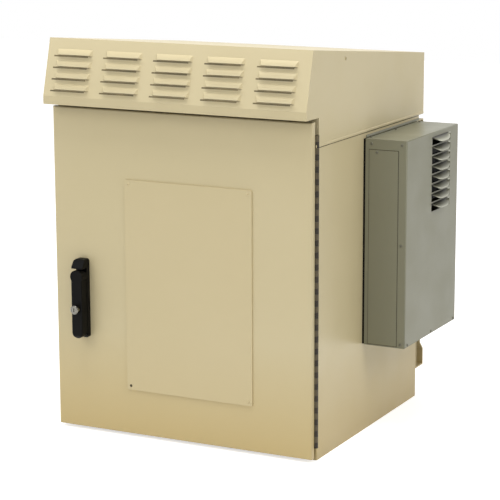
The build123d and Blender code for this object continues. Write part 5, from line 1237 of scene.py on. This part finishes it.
# %% Ground bar screws and the clips on the door blanket's pins
ground_head = stamp("ground_head", [
    (0.0, 0.0036), (0.0004, 0.0038), (0.0030, 0.0038), (0.0036, 0.0034), (0.0040, 0.0018),
], 16)
ground_screws = set_fasteners(
    "ground_screws", ground_seats, ground_head, BRASS, "cabinet", 14)
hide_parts("ground_bar_screws")
clip = stamp("clip", [
    (0.0, 0.0014), (0.0094, 0.0014), (0.0096, 0.0119), (0.0100, 0.0120), (0.0104, 0.0112),
    (0.0101, 0.0080), (0.0104, 0.0040), (0.0110, 0.0024), (0.0110, 0.0010),
], 24)
pin_seats = [((x, door_low.y, z), (0, 1, 0)) for x, z in PIN_SPOTS]
pin_clips = set_fasteners("pin_clips", pin_seats, clip, ZINC, "door", 15)
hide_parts("lining_pins")
for part in (big_head, small_head, rivet_head, ground_head, clip):
    bpy.data.objects.remove(part)

# %% [markdown]
# ## Hem and painted shade below it
#
# Where the hood's skirt ends, its sheet is hemmed, and a thin dark strip below the hem
# is painted shade in the gap to the wall, which reads as a fine line along both sides.
# Each is one small profile drawn along a straight run, and so is the flange on the wall
# further down.

# %% Runs of a small profile
hood_low, hood_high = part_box("hood")
body_low, body_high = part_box("body_shell")
ac_low, ac_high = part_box("ac_cover")


def straight_run(into, profile, first, last, to_x, to_z):
    """Carries (out, up) pairs along Y from one end of a run to the other."""
    rings = []
    for y in (first, last):
        rings.append([into.verts.new((to_x(out), y, to_z + up)) for out, up in profile])
    join_rings(into, rings)
    close_ends(into, rings)


HEM_PROFILE = [
    (0.0000, 0.0000), (0.0004, -0.0006), (0.0012, -0.0008), (0.0020, -0.0004),
    (0.0024, 0.0006), (0.0024, 0.0034), (0.0020, 0.0046), (0.0012, 0.0050), (0.0000, 0.0050),
]
HEM_THIN = 0.7
HEM_SUNK = 0.0008
# The strip below the hem is painted shade in the gap to the wall.
SKIRT_SHADE_PROFILE = [
    (0.0000, 0.0000), (0.0000, -0.0030), (0.0006, -0.0024), (0.0012, -0.0008),
    (0.0014, 0.0000),
]
hem_mesh = bmesh.new()
skirt_shade_mesh = bmesh.new()
for side in (-1, 1):
    straight_run(
        hem_mesh, HEM_PROFILE, body_low.y + 0.003, hood_high.y - 0.001,
        lambda out: side * (hood_high.x - HEM_SUNK + HEM_THIN * out), hood_low.z)
    straight_run(
        skirt_shade_mesh, SKIRT_SHADE_PROFILE, body_low.y + 0.004, body_high.y - 0.004,
        lambda out: side * (body_high.x + out), hood_low.z)
to_piece("skirt_hem", hem_mesh, CREAM, "cabinet")
to_piece("skirt_sealant", skirt_shade_mesh, BARE_METAL_AND_SHADE, "cabinet")

# %% [markdown]
# ## Curved louvres of the air conditioner
#
# The CAD blades are flat. The press rounds them: they bow down towards the lip and
# their ends curve back to the sheet. The cover's own mesh is cut finely along each
# blade, and its points move with the distance from the sheet and from the blade's ends.
# How far out a point is, as a share of its blade, goes into a UV layer for the painted
# shade at the blade's root and the painted highlight at its lip.

# %% Cutting the blades finely
BLADE_REACH = 0.0166
BLADE_DROP = 0.0094
BLADE_HALF = 0.0535
BLADE_TAPER = 0.0083
BLADE_ROUND = 0.038
BLADE_TOP = 0.438
BLADE_MIDDLE = 0.4227
CUTS_FROM_END = (0.0006, 0.002, 0.0045, BLADE_TAPER, 0.012, 0.017, 0.022, 0.028, BLADE_ROUND)
CUTS_OF_REACH = (0.15, 0.3, 0.45, 0.6, 0.75, 0.88)
blade_top_z = ac_low.z + BLADE_TOP
blade_middle_y = body_low.y + BLADE_MIDDLE
sheet_x = ac_high.x - BLADE_REACH
cover_mesh = bmesh.new()
cover_mesh.from_mesh(nodes["ac_cover"].data)
bmesh.ops.remove_doubles(cover_mesh, verts=cover_mesh.verts, dist=SAME_PLACE)
for face in cover_mesh.faces:
    face.material_index = 0


def blade_faces():
    """The faces of the cover that stand out from its sheet."""
    return [f for f in cover_mesh.faces if max(v.co.x for v in f.verts) > sheet_x + 0.0003]


def cut_blades(place, normal):
    """Cuts the blades along a plane, so that they have points there to move."""
    faces = blade_faces()
    edges = {edge for face in faces for edge in face.edges}
    points = {vertex for face in faces for vertex in face.verts}
    bmesh.ops.bisect_plane(
        cover_mesh, geom=faces + list(edges) + list(points),
        plane_co=place, plane_no=normal, dist=SAME_PLACE)


for side in (-1, 1):
    for inset in CUTS_FROM_END:
        cut_blades((0, blade_middle_y + side * (BLADE_HALF - inset), 0), (0, 1, 0))
for share in CUTS_OF_REACH:
    cut_blades((sheet_x + share * BLADE_REACH, 0, 0), (1, 0, 0))
print("the louvres have", len(blade_faces()), "faces")

# %% Bending the blades
BLADE_PITCH = 0.0208
BLADE_ROWS = 8
BLADE_BOW = 1.9
ROUND_POWER = 0.85
ON_SHEET = 0.0001
LEAST_FROM_END = 0.0003
bent_faces = blade_faces()
share_of_reach = {}
cover_mesh.verts.index_update()
for vertex in cover_mesh.verts:
    reach = vertex.co.x - sheet_x
    if reach < ON_SHEET:
        continue
    row = round((blade_top_z - BLADE_DROP / 2 - vertex.co.z) / BLADE_PITCH)
    root_z = blade_top_z - BLADE_PITCH * min(max(row, 0), BLADE_ROWS - 1)
    off_plane = vertex.co.z - (root_z - BLADE_DROP * reach / BLADE_REACH)
    from_end = max(BLADE_HALF - abs(vertex.co.y - blade_middle_y), LEAST_FROM_END)
    flat_reach = max(reach, BLADE_REACH * min(1.0, from_end / BLADE_TAPER))
    quarter = math.pi / 2 * min(1.0, from_end / BLADE_ROUND)
    new_reach = reach * BLADE_REACH * math.sin(quarter) ** ROUND_POWER / flat_reach
    share_of_reach[vertex.index] = reach / flat_reach
    vertex.co.x = sheet_x + new_reach
    vertex.co.z = root_z - BLADE_DROP * (new_reach / BLADE_REACH) ** BLADE_BOW + off_plane
print(len(share_of_reach), "points moved")

# %% The louvred cover
AXIS_FACING = 0.9995
shares = cover_mesh.loops.layers.uv.new("reach")
for face in bent_faces:
    face.material_index = 1
    for corner in face.loops:
        along = (corner.vert.co.y - blade_middle_y) / (2 * BLADE_HALF) + 0.5
        corner[shares].uv = (along, share_of_reach.get(corner.vert.index, 0.0))
louvred_cover = to_piece("louvred_cover", cover_mesh, GREY_GREEN, "cabinet", 38)
louvred_cover.data.materials.append(BLADE_SHADE_AND_HIGHLIGHT)
for polygon in louvred_cover.data.polygons:
    if max(abs(level) for level in polygon.normal) > AXIS_FACING:
        polygon.use_smooth = False
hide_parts("ac_cover")

# %% [markdown]
# ## Thin strips of painted shade
#
# The mouths of the hood's pressed louvres and a narrow gap round the access panel lie in
# shade. At this size both read as fine dark lines, so thin dark bars of painted shade
# stand for them.

# %% A bar
BAR_SIDES = (
    (0, 1, 3, 2), (4, 6, 7, 5), (0, 4, 5, 1), (2, 3, 7, 6), (0, 2, 6, 4), (1, 5, 7, 3))


def add_bar(into, corner, first, second, third):
    """A small bar from one corner along three edges."""
    made = [
        into.verts.new(corner + first * a + second * b + third * c)
        for a in (0, 1) for b in (0, 1) for c in (0, 1)
    ]
    for side in BAR_SIDES:
        into.faces.new([made[k] for k in side])


# %% Shade in the mouths of the hood's louvres
LOUVRE_COLUMNS, LOUVRE_ROWS = 5, 4
LOUVRE_ACROSS, LOUVRE_DOWN = 0.119, 0.0246
LOUVRE_SHIFT = -0.0025
LOUVRE_FIRST = 0.036
LOUVRE_HALF = 0.0412
SHADE_DROP = 0.0019
SHADE_TUCK = 0.0010
SHADE_LIFT = 0.0002
slope_foot = Vector((0, body_low.y - 0.058, body_high.z + 0.018))
slope_top = Vector((0, body_low.y - 0.026, hood_high.z))
slope_up = (slope_top - slope_foot).normalized()
slope_out = Vector((0, -slope_up.z, slope_up.y))
shade_mesh = bmesh.new()
for column in range(LOUVRE_COLUMNS):
    for row in range(LOUVRE_ROWS):
        down = LOUVRE_FIRST + LOUVRE_DOWN * row + SHADE_DROP
        start = slope_top - slope_up * down - slope_out * SHADE_LIFT
        middle_x = (column - (LOUVRE_COLUMNS - 1) / 2) * LOUVRE_ACROSS + LOUVRE_SHIFT
        start.x = middle_x - LOUVRE_HALF
        add_bar(
            shade_mesh, start, Vector((2 * LOUVRE_HALF, 0, 0)),
            slope_up * (SHADE_DROP + SHADE_TUCK), slope_out * (2 * SHADE_LIFT))
to_piece("louvre_shade", shade_mesh, MOUTH_SHADE, "cabinet")

# %% Painted shadow in the seam round the access panel
SEAM = 0.0011
SEAM_LIFT = 0.0004
panel_low, panel_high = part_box("ac_access_panel")
left, right = panel_low.x - SEAM, panel_high.x + SEAM
seam_shadow_mesh = bmesh.new()
for x0, x1, z0, z1 in (
    (left, right, panel_high.z, panel_high.z + SEAM),
    (left, right, panel_low.z - SEAM, panel_low.z),
    (panel_high.x, right, panel_low.z, panel_high.z),
    (left, panel_low.x, panel_low.z, panel_high.z),
):
    add_bar(
        seam_shadow_mesh, Vector((x0, ac_low.y - SEAM_LIFT, z0)), Vector((x1 - x0, 0, 0)),
        Vector((0, SEAM + SEAM_LIFT, 0)), Vector((0, 0, z1 - z0)))
# The bars are painted shadow in the gap round the panel.
to_piece("panel_seam", seam_shadow_mesh, SEAM_SHADOW, "cabinet")

# %% [markdown]
# Above the air conditioner a narrow flange lies on the wall.

# %% Flange above the air conditioner
FLANGE_PROFILE = [
    (0.0000, 0.0000), (0.0014, 0.0000), (0.0014, 0.0048), (0.0010, 0.0052), (0.0000, 0.0052),
]
flange_mesh = bmesh.new()
straight_run(
    flange_mesh, FLANGE_PROFILE, ac_low.y + 0.014, body_high.y - 0.006,
    lambda out: body_high.x + out, ac_high.z)
to_piece("wall_flange", flange_mesh, GREY_GREEN, "cabinet")

# %% [markdown]
# ## Floor and light
#
# The cabinet stands on a pale studio floor in soft, even light. A large lamp in front
# and above gives the door its tone, one from the right keeps the side readable, and the
# strongest one stands overhead. The background looks white because camera and mirror
# rays see a white floor and sky, and no extra light falls on the cabinet.

# %% Floor
FLOOR_SIZE = 14.0
FLOOR_GREY = (0.80, 0.80, 0.80, 1.0)
FLOOR_LIFT = 0.62
floor_mesh = bmesh.new()
bmesh.ops.create_grid(floor_mesh, x_segments=1, y_segments=1, size=FLOOR_SIZE / 2)
floor_data = bpy.data.meshes.new("floor")
floor_mesh.to_mesh(floor_data)
floor_mesh.free()
floor = add_object("floor", floor_data)
floor_finish, floor_tree, floor_shader = new_finish("studio_floor", FLOOR_GREY, 0.9)


def seen_directly(tree):
    """1 for a ray from the camera, a mirror or a glass, and 0 for light that falls on things."""
    path = add_node(tree, "LightPath", {}).outputs
    seen = maths(tree, "MAXIMUM", path["Is Camera Ray"], path["Is Glossy Ray"])
    return maths(tree, "MAXIMUM", seen, path["Is Transmission Ray"])


strength = maths(floor_tree, "MULTIPLY", seen_directly(floor_tree), FLOOR_LIFT)
lift = add_node(floor_tree, "Emission", {"Strength": strength})
both = add_node(floor_tree, "AddShader", {0: floor_shader.outputs[0], 1: lift.outputs[0]})
floor_out = floor_tree.nodes["Material Output"]
floor_tree.links.new(both.outputs[0], floor_out.inputs["Surface"])
floor_data.materials.append(floor_finish)

# %% Lamps
LAMP_AIM = Vector((0.0, -0.1, 0.4))


def soft_lamp(name, place, size, power, colour):
    """A large square lamp that points at the cabinet's middle."""
    data = bpy.data.lights.new(name, "AREA")
    data.size = size
    data.energy = power
    data.color = colour
    lamp = add_object(name, data)
    lamp.location = place
    lamp.rotation_euler = (LAMP_AIM - Vector(place)).to_track_quat("-Z", "Y").to_euler()


soft_lamp("front_lamp", (-1.8, -3.6, 3.4), 2.4, 56, (1.0, 0.985, 0.96))
soft_lamp("side_lamp", (3.4, -0.9, 3.2), 1.8, 44, (1.0, 0.96, 0.87))
soft_lamp("top_lamp", (0.0, -0.8, 4.2), 2.2, 95, (1.0, 1.0, 1.0))

# %% Sky
SKY_LIGHT = 0.54
world = bpy.data.worlds.new("studio")
bpy.context.scene.world = world
world.use_nodes = True
sky_tree = world.node_tree
sky = sky_tree.nodes["Background"]
sky.inputs["Color"].default_value = (1.0, 1.0, 1.0, 1.0)
strength = spread(sky_tree, seen_directly(sky_tree), 0, 1, SKY_LIGHT, 1.0)
sky_tree.links.new(strength, sky.inputs["Strength"])
bpy.context.scene.view_settings.view_transform = "Standard"
print("floor, lamps and sky ready")
